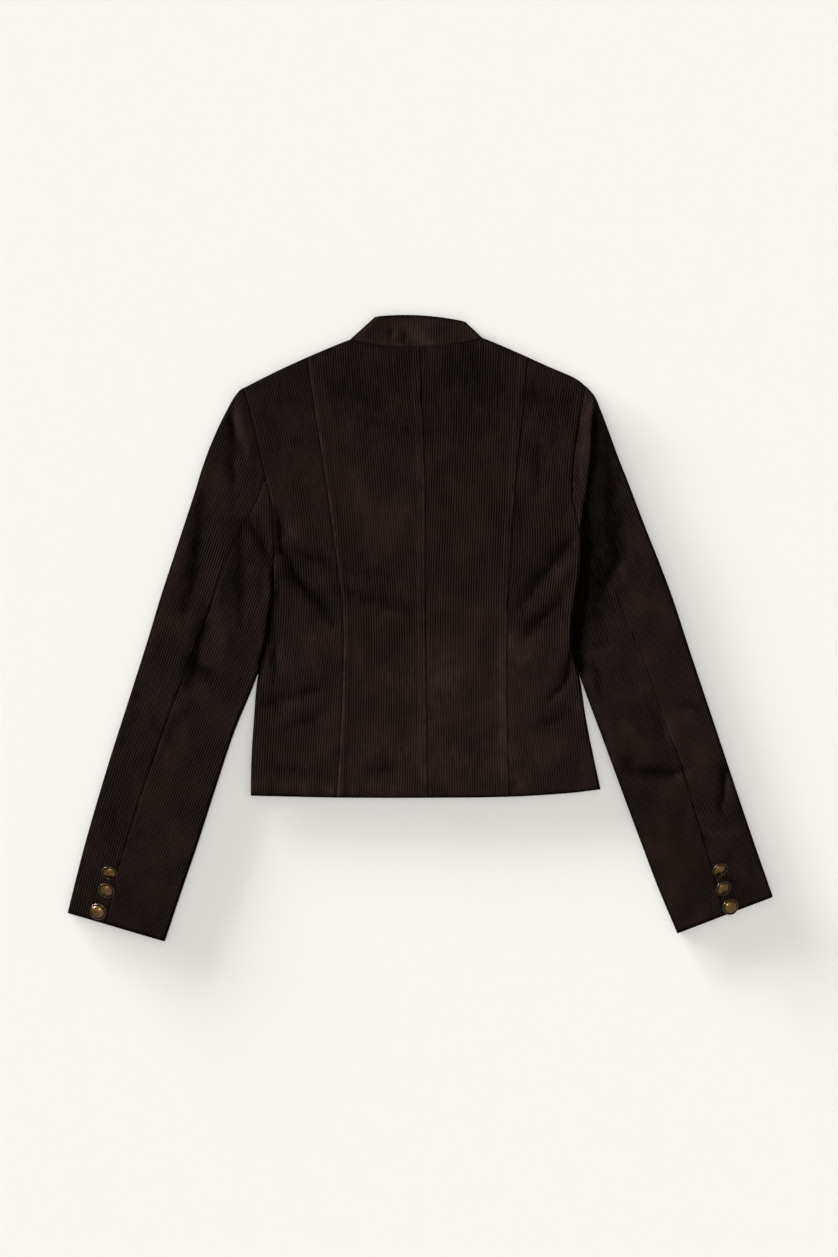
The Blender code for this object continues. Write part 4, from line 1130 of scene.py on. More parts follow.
def sleeve_top(side):
    """Grid of a top sleeve. A row runs from the elbow seam or the armhole over the outer fold, and back
    under the sleeve to the forearm seam."""
    level = sleeve_levels(side, line_end(side + "_edge", back_top_level))
    from_cuff = level - cuff_level(side)
    parts = Sections(side, level)
    roll = np.minimum(ROLL, NARROW_ROLL * parts.width)
    start = np.where(parts.elbow > 0, parts.elbow + SEAM_GAP / 2, 0.0)
    end = parts.width - roll
    strip = np.array(SEAM_STEPS) * np.minimum(1.0, NARROW_PART * (end - start) / SEAM_DIP_WIDTH)
    low = start + strip[:, -1:]
    places = rib_places(0.0, float(np.max(end - start)))[:0:-1]
    wanted = end - places / parts.across
    reach = joined(start + strip, np.clip(wanted, low, end), end)
    x, y = parts.place(reach)
    from_seam = reach - start
    z = upper_height(x, y)
    z = z - np.where(parts.elbow > 0, elbow_dip(side, level, from_seam), seam_dip(from_seam))
    rib = (end - reach) * parts.across / RIB_PITCH

    turn = np.arange(1, OUTER_ROLL_STEPS + 1) / OUTER_ROLL_STEPS
    angle = math.pi * (0.5 - turn)
    middle = parts.upper(end) / 2
    roll_reach = end + roll * np.cos(angle)
    roll_x, roll_y = parts.place(roll_reach)
    roll_z = middle + middle * np.sin(angle)
    roll_rib = -turn * OUTER_ROLL_STEPS / len(RIB_PLACES)

    inner_reach = np.minimum(ROLL, NARROW_PART * parts.width)
    count = round(float(np.max(parts.width)) / PLAIN_STEP)
    lower_reach = mix(end, inner_reach, np.arange(1, count) / count)
    turns = ROLL_TURNS[::-1]
    back_reach = joined(lower_reach, roll_distance(turns, parts.free) * inner_reach / ROLL)
    back_x, back_y = parts.place(back_reach)
    back_turn = np.concatenate((np.ones(count - 1), turns))
    back_z = rolled_height(0.0, back_turn, parts.free, parts.upper(0.0) / 2)
    inside = ease(back_reach / LIFT_FADE) * ease((end - back_reach) / LIFT_FADE)
    back_z = back_z + fold_rise(back_x, back_y, LOWER_FOLDS) * inside
    back_rib = roll_rib[-1] - (end - back_reach) * parts.across / RIB_PITCH

    plain = 0.0 * back_reach
    z = joined(z, roll_z, back_z)
    z = z + (turn_up_rise(from_cuff) - edge_drop(from_cuff)) * joined(0 * reach + 1, 1 - turn, plain)
    relief = joined(seam_relief(from_seam), ease((1 - turn) / ROLL_RELIEF_END), plain)
    # Tones: painted shade in the elbow seam, or in the armhole seam on rows without one, along the cuff
    # and the outer fold, and the strokes of painted shade, light and nap
    seam_shade = np.where(parts.elbow > 0, elbow_seam_shade(side, level), ARMHOLE_SEAM_SHADE)
    tone = line_tone(from_seam, seam_shade, SEAM_LINE_WIDTH) + upper_shade_light_and_nap(x, y)
    tone = tone + edge_shade((from_cuff, 1.0), (parts.width - reach, 1.0))
    tone = joined(tone, edge_shade((parts.width - roll_reach, 1.0)), plain)
    x = joined(x, roll_x, back_x)
    y = joined(y, roll_y, back_y)
    owner = merged_owner(x.shape[1], len(SEAM_STEPS), wanted <= low, wanted > end)
    rib = joined(rib, roll_rib, back_rib)
    return Grid(x, y, z, rib, relief, turn_up_thickness(from_cuff), tone, owner)


def sleeve_under(side):
    """Grid of an under sleeve. A row runs from the armhole or the free inner edge to the elbow seam."""
    levels = sleeve_levels(side, ARMHOLE_SEARCH_FROM)
    wide = Sections(side, levels).elbow[:, 0] - SEAM_GAP / 2 >= LEAST_UNDER_WIDTH
    level = levels[wide]
    from_cuff = level - cuff_level(side)
    parts = Sections(side, level)
    end = parts.elbow - SEAM_GAP / 2
    scale = np.minimum(1.0, NARROW_ROLL * end / ROLL)
    dip = SEAM_STEPS[-1] * np.minimum(1.0, NARROW_PART * end / SEAM_STEPS[-1])
    low = ROLL * scale
    high = end - dip
    guide = table_line(UNDER_RIBS[side])

    def slope_of(line, place):
        return (line(place + SLOPE_STEP) - line(place - SLOPE_STEP)) / (2 * SLOPE_STEP)

    def from_guide(reach):
        x, y = parts.place(reach)
        return (x - guide(y)) / np.sqrt(1 + slope_of(guide, y) ** 2)

    ends = joined(from_guide(0.0 * end), from_guide(end))
    places = rib_places(float(ends.min()), float(ends.max()))[:: -SIGNS[side]]
    wanted = end / 2 + 0 * places
    for _ in range(MEETING_ROUNDS):
        wanted = wanted + (places - from_guide(wanted)) / slope_of(from_guide, wanted)
    foot = roll_distance(ROLL_TURNS, parts.free) * scale
    strip = end - np.array(SEAM_STEPS)[::-1] * dip / SEAM_STEPS[-1]
    reach = joined(foot, np.clip(wanted, low, high), strip)
    x, y = parts.place(reach)
    z = upper_height(x, y)
    z = z - np.maximum(elbow_dip(side, level, end - reach), seam_dip(reach) * (1 - parts.free))
    turn = joined(ROLL_TURNS, np.ones(len(places) + len(SEAM_STEPS)))
    z = rolled_height(z, turn, parts.free, parts.upper(0.0 * end) / 2)
    z = z + turn_up_rise(from_cuff) * turn - edge_drop(from_cuff)
    first = len(ROLL_TURNS)
    rib = from_guide(reach) / RIB_PITCH
    outward = np.sign(from_guide(high) - from_guide(low))
    rib[:, :first] -= outward * unrolled_reach(ROLL_TURNS, parts.free) * scale / RIB_PITCH
    relief = seam_relief(np.minimum(end - reach, reach * (1 + parts.free)))
    # Tones: painted shade along the cuff, the free inner edge, the elbow seam and the armhole seam, and
    # the strokes of painted shade, light and nap
    tone = edge_shade((from_cuff, 1.0), (reach, parts.free)) + upper_shade_light_and_nap(x, y)
    tone = tone + line_tone(end - reach, elbow_seam_shade(side, level), SEAM_LINE_WIDTH)
    tone = tone + line_tone(reach, ARMHOLE_SEAM_SHADE * (1 - parts.free), SEAM_LINE_WIDTH)
    owner = merged_owner(x.shape[1], first, wanted <= low, wanted >= high)
    return Grid(x, y, z, rib, relief, turn_up_thickness(from_cuff), tone, owner)


def centre_x(side):
    """Where a front ends at the centre."""
    return (CENTRE_FRONT - SIGNS[side] * CENTRE_FRONT_GAP / 2) * MM


def front_neck_place(side_neck, depth, turn, centre):
    """A point of a quarter of an ellipse, from the side of the neck, turn 0, to centre front, turn 1."""
    angle = turn * math.pi / 2
    x = centre + (side_neck[0] * MM - centre) * np.cos(angle)
    return x, side_neck[1] * MM - depth * MM * np.sin(angle)


def front_panel(side):
    """Grid of a front, which lies on the surface. Its upper outline is the shoulder and the neckline. A
    row runs from the side edge to the centre."""
    centre = centre_x(side)
    neck = NECKS[side]
    top = line_end(side + "_edge", back_top_level)
    bottom = line_end(side + "_edge", hem_level)
    side_rows = round((top - bottom) / PLAIN_STEP)
    v = np.concatenate((np.arange(side_rows) / side_rows, np.ones(ROLL_STEPS + 1)))[:, None]
    row_turn = np.concatenate((np.ones(side_rows), ROLL_TURNS[::-1]))[:, None]
    shoulder_shares = FRONT_SHOULDER_SHARE * np.arange(1, FRONT_SHOULDER_COLUMNS) / FRONT_SHOULDER_COLUMNS
    neck_turns = np.arange(FRONT_NECK_COLUMNS + 1) / FRONT_NECK_COLUMNS
    shares = np.concatenate((shoulder_shares, mix(FRONT_SHOULDER_SHARE, 1.0, neck_turns)))

    y_edge = mix(bottom, top, v)
    free = side_share(side, y_edge)
    edge_x = BODY_LINES[side + "_edge"](y_edge) + SIGNS[side] * SEAM_GAP / 2
    low_x, high_x = edge_x[0, 0], edge_x[-1, 0]
    width = np.abs(centre - edge_x)
    u = joined(roll_distance(ROLL_TURNS, free) / width, shares)

    shoulder_x = mix(high_x, neck[0] * MM, u / FRONT_SHOULDER_SHARE)
    turn = np.clip((u - FRONT_SHOULDER_SHARE) / (1 - FRONT_SHOULDER_SHARE), 0.0, 1.0)
    neck_x, neck_y = front_neck_place(neck, FRONT_NECK_DEPTH, turn, centre)
    neck_y = neck_y - SEAM_GAP / 2 * np.minimum(turn / NECK_GAP_TURN, 1.0)
    on_shoulder = u < FRONT_SHOULDER_SHARE
    top_x = np.where(on_shoulder, shoulder_x, neck_x)
    top_y = np.where(on_shoulder, back_top_level(shoulder_x), neck_y)

    hem_x = mix(low_x, centre, u)
    beside = np.maximum(0.0, 1 - u / FRONT_SHOULDER_SHARE)
    x = mix(hem_x, top_x, v) + beside * (edge_x - mix(low_x, high_x, v))
    down = roll_distance(row_turn, shoulder_share(top_x)) * (v >= 1.0)
    y = mix(hem_level(hem_x), top_y, v) - down
    column_turn = np.concatenate((ROLL_TURNS, np.ones(len(shares))))
    z = rolled_height(0.0, column_turn, free, upper_height(edge_x, y_edge) / 2)
    z = rolled_height(z, row_turn, shoulder_share(x), upper_height(x, top_y) / 2)
    inside = ease((u * width - ROLL) / LIFT_FADE) * ease((1 - v) * side_rows / LIFT_FADE_ROWS)
    z = z + fold_rise(x, y, LOWER_FOLDS) * inside
    return Grid(x, y, z, (x - centre) / RIB_PITCH, 0.0, turn_up_thickness(y - hem_level(x)), 0.0)


def collar_back_place(across, up):
    """A plan point of the collar's back part, across from the left fold to the right one."""

    def fold_to_fold(ends):
        left_x = ends["left"][0] + COLLAR_FOLD_REACH
        return mix(left_x, ends["right"][0] - COLLAR_FOLD_REACH, across) * MM

    low_x = fold_to_fold(COLLAR_FEET)
    high_x = fold_to_fold(COLLAR_TOPS)
    high_y = bowed_level(high_x, COLLAR_TOPS["left"], COLLAR_TOPS["right"], COLLAR_TOP_BOW)
    return mix(low_x, high_x, up), mix(back_top_level(low_x) + SEAM_GAP / 2, high_y, up)


def collar_fold_place(side, up):
    """A plan point of the collar's side fold."""
    foot, top = COLLAR_FEET[side], COLLAR_TOPS[side]
    return mix(foot[0], top[0], up) * MM, mix(foot[1], top[1], up) * MM


def collar_roll_place(side, angle, up):
    """A point of the roll round a side fold, whose angle goes from 0 on the back part to pi on the front
    part."""
    start_x, start_y = collar_back_place(0.0 if side == "left" else 1.0, up)
    fold_x, fold_y = collar_fold_place(side, up)
    x = mix(start_x, fold_x, np.sin(angle))
    y = mix(start_y, fold_y, np.sin(angle))
    return x, y, LIE_HEIGHT / 2 * (1 + np.cos(angle))


def collar_front_place(side, turn, up):
    """A plan point of the collar's front part, which lies on the surface inside the front neckline."""
    centre = centre_x(side)
    low_x, low_y = front_neck_place(COLLAR_FEET[side], FRONT_NECK_DEPTH, turn, centre)
    high_x, high_y = front_neck_place(COLLAR_TOPS[side], COLLAR_FRONT_TOP_DEPTH, turn, centre)
    start_x, start_y, _ = collar_roll_place(side, math.pi, up)
    fold_x, fold_y = collar_fold_place(side, up)
    x = mix(low_x, high_x, up) + (start_x - fold_x) * (1 - turn)
    y = mix(low_y + SEAM_GAP / 2, high_y, up) + (start_y - fold_y) * (1 - turn)
    return x, y, 0.0 * turn


def collar_grid():
    """Grid of the collar: columns along the band from the left centre front round the back."""
    up = np.linspace(0.0, 1.0, COLLAR_ROWS + 1)[:, None]
    turns = np.arange(1, COLLAR_FRONT_COLUMNS + 1) / COLLAR_FRONT_COLUMNS
    angles = math.pi * np.arange(1, COLLAR_ROLL_COLUMNS + 1) / COLLAR_ROLL_COLUMNS
    low_x, _ = collar_back_place(0.0, up)
    high_x, _ = collar_back_place(1.0, up)
    half = (COLLAR_FEET["right"][0] - COLLAR_FEET["left"][0]) / 2 * MM
    wanted = COLLAR_CENTRE * MM + rib_places(-half, half)
    across = joined(0.0, np.clip((wanted - low_x) / (high_x - low_x), 0.0, 1.0), 1.0)
    back_x, back_y = collar_back_place(across, up)
    sag = COLLAR_SAG * MM * up * arch(across)
    back_z = LIE_HEIGHT - sag + fold_rise(back_x, back_y, COLLAR_FOLDS) - seam_dip(up * COLLAR_HEIGHT)
    bands = (
        collar_front_place("left", turns[::-1], up),
        collar_roll_place("left", angles[::-1], up),
        (back_x, back_y, back_z),
        collar_roll_place("right", angles, up),
        collar_front_place("right", turns, up),
    )
    x, y, z = (joined(*values) for values in zip(*bands))

    back_rib = (back_x - COLLAR_CENTRE * MM) / RIB_PITCH
    left_rib = back_rib[:, :1] - angles[::-1] * COLLAR_ROLL_ARC / RIB_PITCH
    right_rib = back_rib[:, -1:] + angles * COLLAR_ROLL_ARC / RIB_PITCH
    front = np.arange(1, COLLAR_FRONT_COLUMNS + 1)
    rib = joined(left_rib[:, :1] - front[::-1], left_rib, back_rib, right_rib, right_rib[:, -1:] + front)
    left_angles = angles[::-1]
    right_angles = angles - angles[0]
    relief = (0 * turns, np.cos(left_angles / 2), 1 + 0 * across, np.cos(right_angles / 2), 0 * turns)
    # The collar's tone: lighter all over, painted shade in the dimples, painted light along the foot and
    # beside the side folds, and painted shade along the free edge
    tone = COLLAR_TONE + stroke_shade_light_and_nap(back_x, back_y, COLLAR_DIMPLE_SHADE_AND_LIGHTER_STROKES)
    tone = tone + seam_line(up * COLLAR_HEIGHT, COLLAR_FOOT_LIGHT)
    from_fold = np.minimum(back_x - low_x, high_x - back_x)
    tone = tone + line_tone(from_fold, COLLAR_FOLD_LIGHT, COLLAR_FOLD_LIGHT_WIDTH)
    tone = tone + edge_shade(((1 - up) * COLLAR_HEIGHT, 1.0))
    # Painted shade on the rolls round the side folds, darkest where they face out
    left_tone, right_tone = (EDGE_SHADE * np.sin(angle) ** 2 for angle in (left_angles, right_angles))
    tone = joined(0 * turns, left_tone, tone, right_tone, 0 * turns)
    first = len(turns) + len(angles) + 1
    owner = merged_owner(x.shape[1], first, wanted <= low_x, wanted >= high_x)
    return Grid(x, y, z, rib, joined(*relief), COLLAR_THICKNESS, tone, owner)


def button_profile():
    """Half section of a button, from the top of its dome out over its rim and down to its shank's foot."""
    profile = []
    for angle in np.linspace(0.0, math.pi / 2, BUTTON_DOME_STEPS + 1):
        rise = BUTTON_DOME_RISE * math.cos(angle)
        profile.append((BUTTON_DOME_RADIUS * math.sin(angle), BUTTON_FLOOR_LEVEL + rise))
    for angle in math.pi - np.linspace(0.0, BUTTON_RIM_TURN, BUTTON_RIM_STEPS + 1):
        x = BUTTON_RADIUS - BUTTON_RIM_RADIUS + BUTTON_RIM_RADIUS * math.cos(angle)
        profile.append((x, BUTTON_RIM_LEVEL + BUTTON_RIM_RADIUS * math.sin(angle)))
    return profile + [(BUTTON_SHANK_RADIUS, BUTTON_SHANK_HEIGHT), (BUTTON_SHANK_RADIUS, 0.0), (0.0, 0.0)]


def patina(radius, height):
    """How dark a button's metal has turned: most in the groove round its dome and below, and less where
    its rim is worn."""
    if height <= BUTTON_SHANK_HEIGHT:
        return 1.0
    worn = PATINA_WEAR * ease((height - BUTTON_RIM_LEVEL) / BUTTON_RIM_RADIUS)
    return float(ease((radius - PATINA_START) / PATINA_REACH) * (1 - worn))


def thread_profile():
    """Half section of the thread that is wound round the foot of a button's shank."""
    top = THREAD_TURNS * THREAD_TURN_HEIGHT
    steps = THREAD_TURNS * THREAD_STEPS_A_TURN
    profile = [(0.0, top - THREAD_BELOW)]
    for i in range(steps + 1):
        bulge = abs(math.sin(math.pi * i / THREAD_STEPS_A_TURN))
        radius = THREAD_RADIUS - THREAD_TURN_HEIGHT / 2 * (1 - bulge)
        profile.append((radius, top * (1 - i / steps) - THREAD_BELOW))
    return profile + [(0.0, -THREAD_BELOW)]


def rim_height(lean):
    """Height of the middle of a leaning button's rim above the cloth that it touches with its rim or
    its shank's foot."""
    on_rim = (BUTTON_RADIUS - BUTTON_RIM_RADIUS) * math.sin(lean) + BUTTON_RIM_RADIUS
    on_foot = BUTTON_RIM_LEVEL * math.cos(lean) + BUTTON_SHANK_RADIUS * math.sin(lean)
    return max(on_rim, on_foot) + BUTTON_SEAT_GAP


def button_place(x, level, lean, lean_towards):
    """Where a button sits: its shank's foot is the origin before it is placed."""
    around = math.radians(lean_towards)
    hinge = Vector((-math.sin(around), math.cos(around), 0.0))
    seat = float(upper_height(np.array(x * MM), np.array(level * MM)))
    rim_middle = Matrix.Translation((x * MM, level * MM, seat + rim_height(math.radians(lean))))
    from_foot = Matrix.Translation((0.0, 0.0, -BUTTON_RIM_LEVEL))
    return rim_middle @ Matrix.Rotation(math.radians(lean), 4, hinge) @ from_foot


def turned(name, profile, place, material):
    """Turn a half section, which starts and ends on its axis, and put the piece in its place."""
    points = []
    for i in range(BUTTON_TURN_STEPS):
        angle = math.tau * i / BUTTON_TURN_STEPS
        points += [(r * math.cos(angle), r * math.sin(angle), z) for r, z in profile[1:-1]]
    count = len(profile) - 2
    faces = []
    for i in range(BUTTON_TURN_STEPS):
        here = i * count
        after = (i + 1) % BUTTON_TURN_STEPS * count
        faces.append((here, after, len(points)))
        faces += [(here + j, here + j + 1, after + j + 1, after + j) for j in range(count - 1)]
        faces.append((after + count - 1, here + count - 1, len(points) + 1))
    points += [(0.0, 0.0, profile[0][1]), (0.0, 0.0, profile[-1][1])]
    piece = smooth_piece(name, points, faces, material)
    set_point_values(piece.data, "patina", [patina(math.hypot(x, y), z) for x, y, z in points])
    piece.data.transform(place)
    return piece


ALLOWANCE_STEPS = np.linspace(-ALLOWANCE, ALLOWANCE, ALLOWANCE_COLUMNS + 1)


def allowance_grid(x, y, drop):
    """Grid of a strip of pressed seam allowances, under the cloth on both sides of a seam."""
    z = upper_height(x, y) - seam_dip(np.abs(ALLOWANCE_STEPS)) - drop - ALLOWANCE_DROP
    return Grid(x, y, z, x / RIB_PITCH, 0.0, ALLOWANCE_THICKNESS, ALLOWANCE_SHADE)


def plain_rows(low, high):
    """Places of plain rows between two places."""
    return np.linspace(low, high, round((high - low) / PLAIN_STEP) + 1)[:, None]


def seam_allowance(line, low, high):
    """Strip under a seam that runs along a line of the body, between two levels."""
    level = plain_rows(low, high)
    x = BODY_LINES[line](level) + ALLOWANCE_STEPS
    return allowance_grid(x, level + 0 * ALLOWANCE_STEPS, CLOTH_THICKNESS)


def neck_allowance():
    """Strip under the seam that joins the collar to the back."""
    low, high = NECKS["left"][0] * MM, NECKS["right"][0] * MM
    x = plain_rows(low + ALLOWANCE_END, high - ALLOWANCE_END)
    y = back_top_level(x) + ALLOWANCE_STEPS
    return allowance_grid(x + 0 * ALLOWANCE_STEPS, y, COLLAR_THICKNESS)


def set_inputs(node, values):
    """Set inputs of a node to constants."""
    for name, value in values.items():
        node.inputs[name].default_value = value


def new_material(name, roughness, metallic=0.0):
    """A material with its node tree and shader."""
    material = bpy.data.materials.new(name)
    material.use_nodes = True
    shader = material.node_tree.nodes["Principled BSDF"]
    set_inputs(shader, {"Roughness": roughness, "Metallic": metallic})
    return material, material.node_tree, shader


def add_node(tree, kind, **values):
    """Add a node and set its properties."""
    node = tree.nodes.new(kind)
    for key, value in values.items():
        setattr(node, key, value)
    return node


def connect(tree, value, socket):
    """Link a socket to an input, or set the input to a number or a colour."""
    if isinstance(value, bpy.types.NodeSocket):
        tree.links.new(value, socket)
    else:
        socket.default_value = (*value, 1.0) if isinstance(value, tuple) else value


def maths(tree, operation, *values, clamp=False):
    """Add a maths node for sockets or numbers."""
    node = add_node(tree, "ShaderNodeMath", operation=operation, use_clamp=clamp)
    for socket, value in zip(node.inputs, values):
        connect(tree, value, socket)
    return node.outputs[0]


def colour_mix(tree, factor, first, second):
    """Add a colour mix whose inputs are sockets or colours."""
    node = add_node(tree, "ShaderNodeMix", data_type="RGBA")
    tree.links.new(factor, node.inputs[0])
    for socket, value in zip(node.inputs[COLOUR_INPUTS], (first, second)):
        connect(tree, value, socket)
    return node.outputs[COLOUR_OUTPUT]


def noise(tree, vector, settings):
    """Add a noise texture with a scale, a detail and a roughness."""
    node = add_node(tree, "ShaderNodeTexNoise")
    set_inputs(node, dict(zip(("Scale", "Detail", "Roughness"), settings)))
    tree.links.new(vector, node.inputs["Vector"])
    return node.outputs["Fac"]


def map_range(tree, value, band, low, high):
    """Add a smooth map from a band of values to the range from low to high."""
    node = add_node(tree, "ShaderNodeMapRange", interpolation_type="SMOOTHSTEP")
    tree.links.new(value, node.inputs["Value"])
    set_inputs(node, {"From Min": band[0], "From Max": band[1], "To Min": low, "To Max": high})
    return node.outputs["Result"]


def noise_range(tree, vector, settings, low, high):
    """Add a noise that goes from low to high."""
    return map_range(tree, noise(tree, vector, settings), NOISE_BAND, low, high)


def stretched_noise(tree, vector, stretch, reach):
    """Noise that is drawn out in one direction, from -reach to reach."""
    node = add_node(tree, "ShaderNodeVectorMath", operation="MULTIPLY")
    tree.links.new(vector, node.inputs[0])
    node.inputs[1].default_value = stretch
    return noise_range(tree, node.outputs[0], STREAK_NOISE, -reach, reach)


def point_value(tree, name):
    """Read a value that each point has."""
    return add_node(tree, "ShaderNodeAttribute", attribute_name=name).outputs["Fac"]


def object_place(tree):
    """Read where a point is on its piece."""
    return add_node(tree, "ShaderNodeTexCoord").outputs["Object"]


def corduroy_material():
    """Dark brown corduroy. Its grooves are darker than its crests, which is painted shade between the
    ribs, and its nap is brushed lit or dark in patches. The points' tone adds painted shade and painted
    light along folds, seams and edges. Where the nap is lit, the ribs are blurred and crossed by fine
    streaks."""
    material, tree, shader = new_material("corduroy_cloth", CLOTH_ROUGHNESS)
    weave = add_node(tree, "ShaderNodeUVMap", uv_map="weave").outputs[0]
    split = add_node(tree, "ShaderNodeSeparateXYZ")
    tree.links.new(weave, split.inputs[0])
    place = object_place(tree)
    across = maths(tree, "ABSOLUTE", maths(tree, "SUBTRACT", maths(tree, "FRACT", split.outputs[0]), 0.5))
    # Darker grooves between the ribs: painted shade
    groove = map_range(tree, across, GROOVE_BAND, 0.0, 1.0)

    # The points' tone holds painted shade and painted light along folds, seams, edges and beyond the right
    # sleeve head's fold, with the nap's strokes; noise makes its edges ragged
    ragged = noise_range(tree, place, RAGGED_NOISE, *RAGGED)
    hand = maths(tree, "MULTIPLY", point_value(tree, "tone"), ragged)
    grain = noise_range(tree, place, GRAIN_NOISE, -GRAIN, GRAIN)
    patches = map_range(tree, noise(tree, place, PATCH_NOISE), PATCH_BAND, 0.0, 1.0)
    streaks = stretched_noise(tree, weave, STREAK_STRETCH, STREAKS)
    cross_streaks = stretched_noise(tree, weave, CROSS_STRETCH, CROSS_STREAKS)
    tone = maths(tree, "ADD", hand, maths(tree, "ADD", streaks, grain))
    lit_share = maths(tree, "ADD", maths(tree, "MULTIPLY", patches, BRUSH_SPAN), BRUSH_LEAST)
    lit_share = maths(tree, "ADD", lit_share, maths(tree, "MULTIPLY", cross_streaks, patches))
    lit_share = maths(tree, "ADD", lit_share, tone, clamp=True)

    crest = colour_mix(tree, lit_share, DEEP_CREST, LIT_CREST)
    dark = colour_mix(tree, lit_share, DEEP_GROOVE, LIT_GROOVE)
    colour = colour_mix(tree, groove, crest, dark)
    # Tones below 0 turn the colour towards TONE_DARK as painted shade and dark nap, and high tones towards
    # TONE_LIGHT as painted light and light nap
    lighter = maths(tree, "SUBTRACT", tone, TONE_LIGHT_FROM, clamp=True)
    darker = maths(tree, "MULTIPLY", tone, -1.0, clamp=True)
    colour = colour_mix(tree, lighter, colour, TONE_LIGHT)
    colour = colour_mix(tree, darker, colour, TONE_DARK)
    tree.links.new(colour, shader.inputs["Base Color"])
    shader.inputs["Specular IOR Level"].default_value = 0.0
    shader.inputs["Sheen Weight"].default_value = SHEEN
    shader.inputs["Sheen Roughness"].default_value = SHEEN_ROUGHNESS
    shader.inputs["Sheen Tint"].default_value = (*SHEEN_TINT, 1.0)
    bump = add_node(tree, "ShaderNodeBump")
    set_inputs(bump, {"Strength": PILE_STRENGTH, "Distance": PILE_HEIGHT})
    tree.links.new(noise(tree, place, PILE_NOISE), bump.inputs["Height"])
    tree.links.new(bump.outputs[0], shader.inputs["Normal"])
    return material


def brass_material():
    """Antique brass under lacquer, with a fine grain, darker and browner in places and in its grooves."""
    material, tree, shader = new_material("antique_brass", METAL_ROUGHNESS[0], 1.0)
    place = object_place(tree)
    worn = colour_mix(tree, noise_range(tree, place, WEAR_NOISE, 0.0, 1.0), BRASS_DARK, BRASS)
    colour = colour_mix(tree, point_value(tree, "patina"), worn, PATINA)
    tree.links.new(colour, shader.inputs["Base Color"])
    grain = noise_range(tree, place, METAL_GRAIN_NOISE, *METAL_ROUGHNESS)
    tree.links.new(grain, shader.inputs["Roughness"])
    shader.inputs["Coat Weight"].default_value = LACQUER
    shader.inputs["Coat Roughness"].default_value = LACQUER_ROUGHNESS
    return material


def thread_material():
    """Dull dark sewing thread."""
    material, tree, shader = new_material("dark_thread", THREAD_ROUGHNESS)
    strands = noise_range(tree, object_place(tree), STRAND_NOISE, 0.0, 1.0)
    tree.links.new(colour_mix(tree, strands, DEEP_GROOVE, THREAD_COLOUR), shader.inputs["Base Color"])
    return material


def floor_material():
    """The pale ground, which is even all over."""
    material, _, shader = new_material("pale_ground", 1.0)
    shader.inputs["Base Color"].default_value = (*FLOOR_COLOUR, 1.0)
    shader.inputs["Specular IOR Level"].default_value = 0.0
    return material


def add_floor():
    """Lay the ground under the jacket."""
    mesh = bpy.data.meshes.new("ground")
    half = FLOOR_SIZE / 2
    corners = [(-half, -half, 0.0), (half, -half, 0.0), (half, half, 0.0), (-half, half, 0.0)]
    mesh.from_pydata(corners, [], [(0, 1, 2, 3)])
    mesh.materials.append(floor_material())
    floor = add_object("ground", mesh)
    floor.location.z = -FLOOR_GAP


def add_lights():
    """Light from all round, a fan of low lamps from the upper left, a broad high one from below, and a
    small one from straight above that catches on the buttons."""
    world = bpy.data.worlds.new("studio")
    bpy.context.scene.world = world
    world.use_nodes = True
    tree = world.node_tree
    split = add_node(tree, "ShaderNodeSeparateXYZ")
    tree.links.new(add_node(tree, "ShaderNodeTexCoord").outputs["Generated"], split.inputs[0])
    brightness = map_range(tree, split.outputs[2], HORIZON_BAND, HORIZON_BRIGHTNESS, SKY_BRIGHTNESS)
    tree.links.new(brightness, tree.nodes["Background"].inputs["Strength"])
    tree.nodes["Background"].inputs["Color"].default_value = (1.0, 1.0, 1.0, 1.0)
    for name, strength, angle, from_direction, elevation in LAMPS:
        lamp = bpy.data.lights.new(name, "SUN")
        lamp.energy = strength
        lamp.angle = math.radians(angle)
        around = math.radians(from_direction)
        up = math.radians(elevation)
        toward = Vector((math.cos(around) * math.cos(up), math.sin(around) * math.cos(up), math.sin(up)))
        add_object(name, lamp).rotation_euler = toward.to_track_quat("Z", "Y").to_euler()


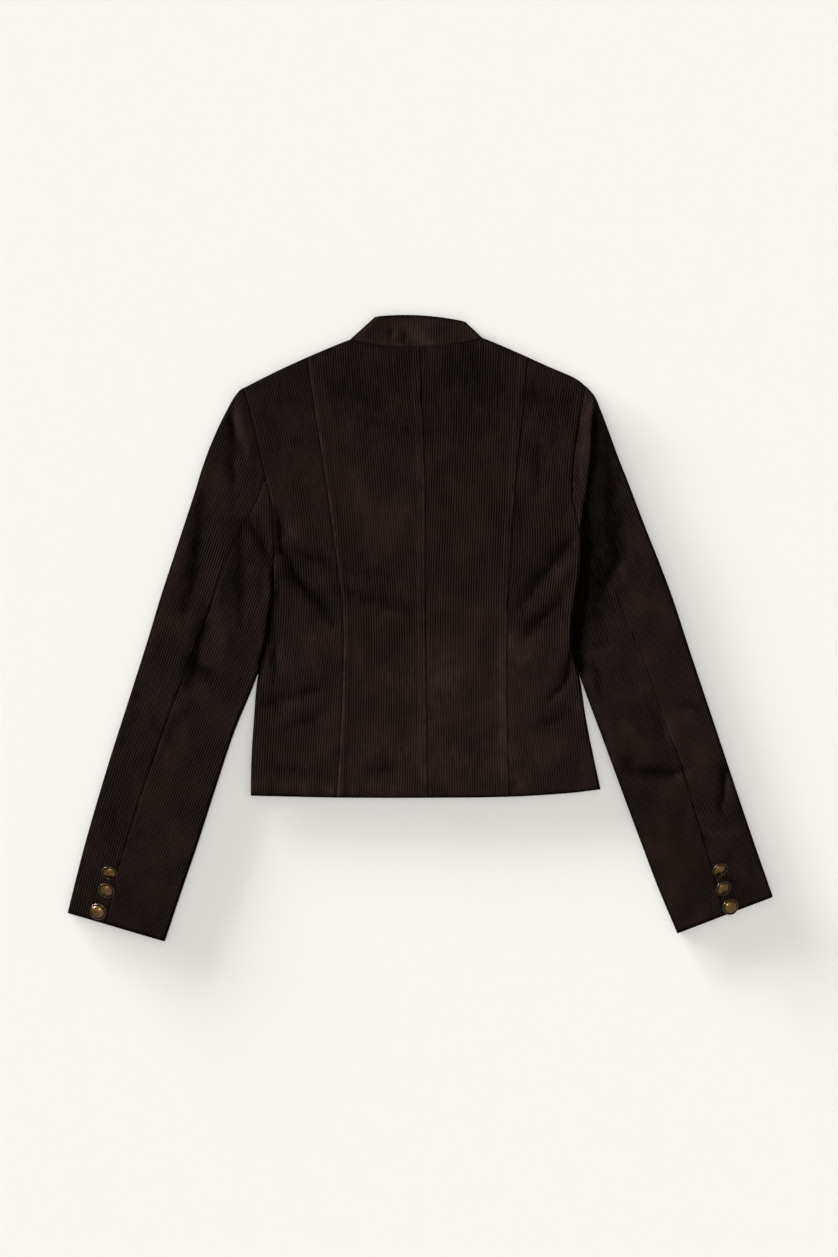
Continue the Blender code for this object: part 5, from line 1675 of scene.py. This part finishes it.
def add_camera():
    """The photograph's view, straight down on the jacket."""
    data = bpy.data.cameras.new("photo_camera")
    data.lens = CAMERA_LENS
    data.sensor_fit = "VERTICAL"
    data.sensor_height = CAMERA_SENSOR
    data.clip_end = CAMERA_REACH
    camera = add_object("photo_camera", data)
    camera.location = (CAMERA_X, CAMERA_Y, FRAME_HEIGHT * CAMERA_LENS / CAMERA_SENSOR)
    bpy.context.scene.camera = camera


def carry(piece):
    """Let a piece ride on the jacket's one body."""
    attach(piece, "root")


def cloth_piece(node, grid, flip, material, strips=()):
    """Make a piece of cloth with the strips of allowances that belong to it."""
    piece = shell(node + "_cloth", grid, flip, material)
    carry(piece)
    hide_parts(node)
    for name, strip in strips:
        allowance = shell(name + "_allowance", strip, False, material)
        carry(allowance)


def allowance_strips(name):
    """The strips of allowances that a panel of the back carries: each with the name of its seam."""
    if name in CENTRE_SEAMS:
        above_hem = LOWEST_HEM + TURN_UP_DEPTH + ALLOWANCE_END
        return [
            (line, seam_allowance(line, above_hem, line_end(line, back_top_level) - ALLOWANCE_END))
            for line in CENTRE_SEAMS[name]
        ]
    side = name.rsplit("_", 1)[1]
    tip = line_end(side + "_edge", back_top_level) - 2 * ALLOWANCE_END
    return [(side + "_armhole", seam_allowance(side + "_edge", ARMPIT_LEVEL[side] * MM, tip))]


def build():
    """Build the visual model."""
    bpy.context.scene.view_settings.view_transform = "Standard"
    cloth = corduroy_material()
    brass = brass_material()
    thread = thread_material()
    for name, *row in BACK_PANELS:
        cloth_piece(name, back_panel(*row), False, cloth, allowance_strips(name))
    for side in SIGNS:
        turned_over = side == "right"
        cloth_piece("front_" + side, front_panel(side), not turned_over, cloth)
        cloth_piece("sleeve_top_" + side, sleeve_top(side), turned_over, cloth)
        cloth_piece("sleeve_under_" + side, sleeve_under(side), turned_over, cloth)
    under_collar = [("neck", neck_allowance())]
    cloth_piece("collar", collar_grid(), False, cloth, under_collar)
    for name, *row in BUTTONS:
        place = button_place(*row)
        button = turned(name + "_turned", button_profile(), place, brass)
        carry(button)
        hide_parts(name)
        carry(turned(name + "_thread", thread_profile(), place, thread))
    add_floor()
    add_lights()
    add_camera()


build()
bpy.context.view_layer.update()
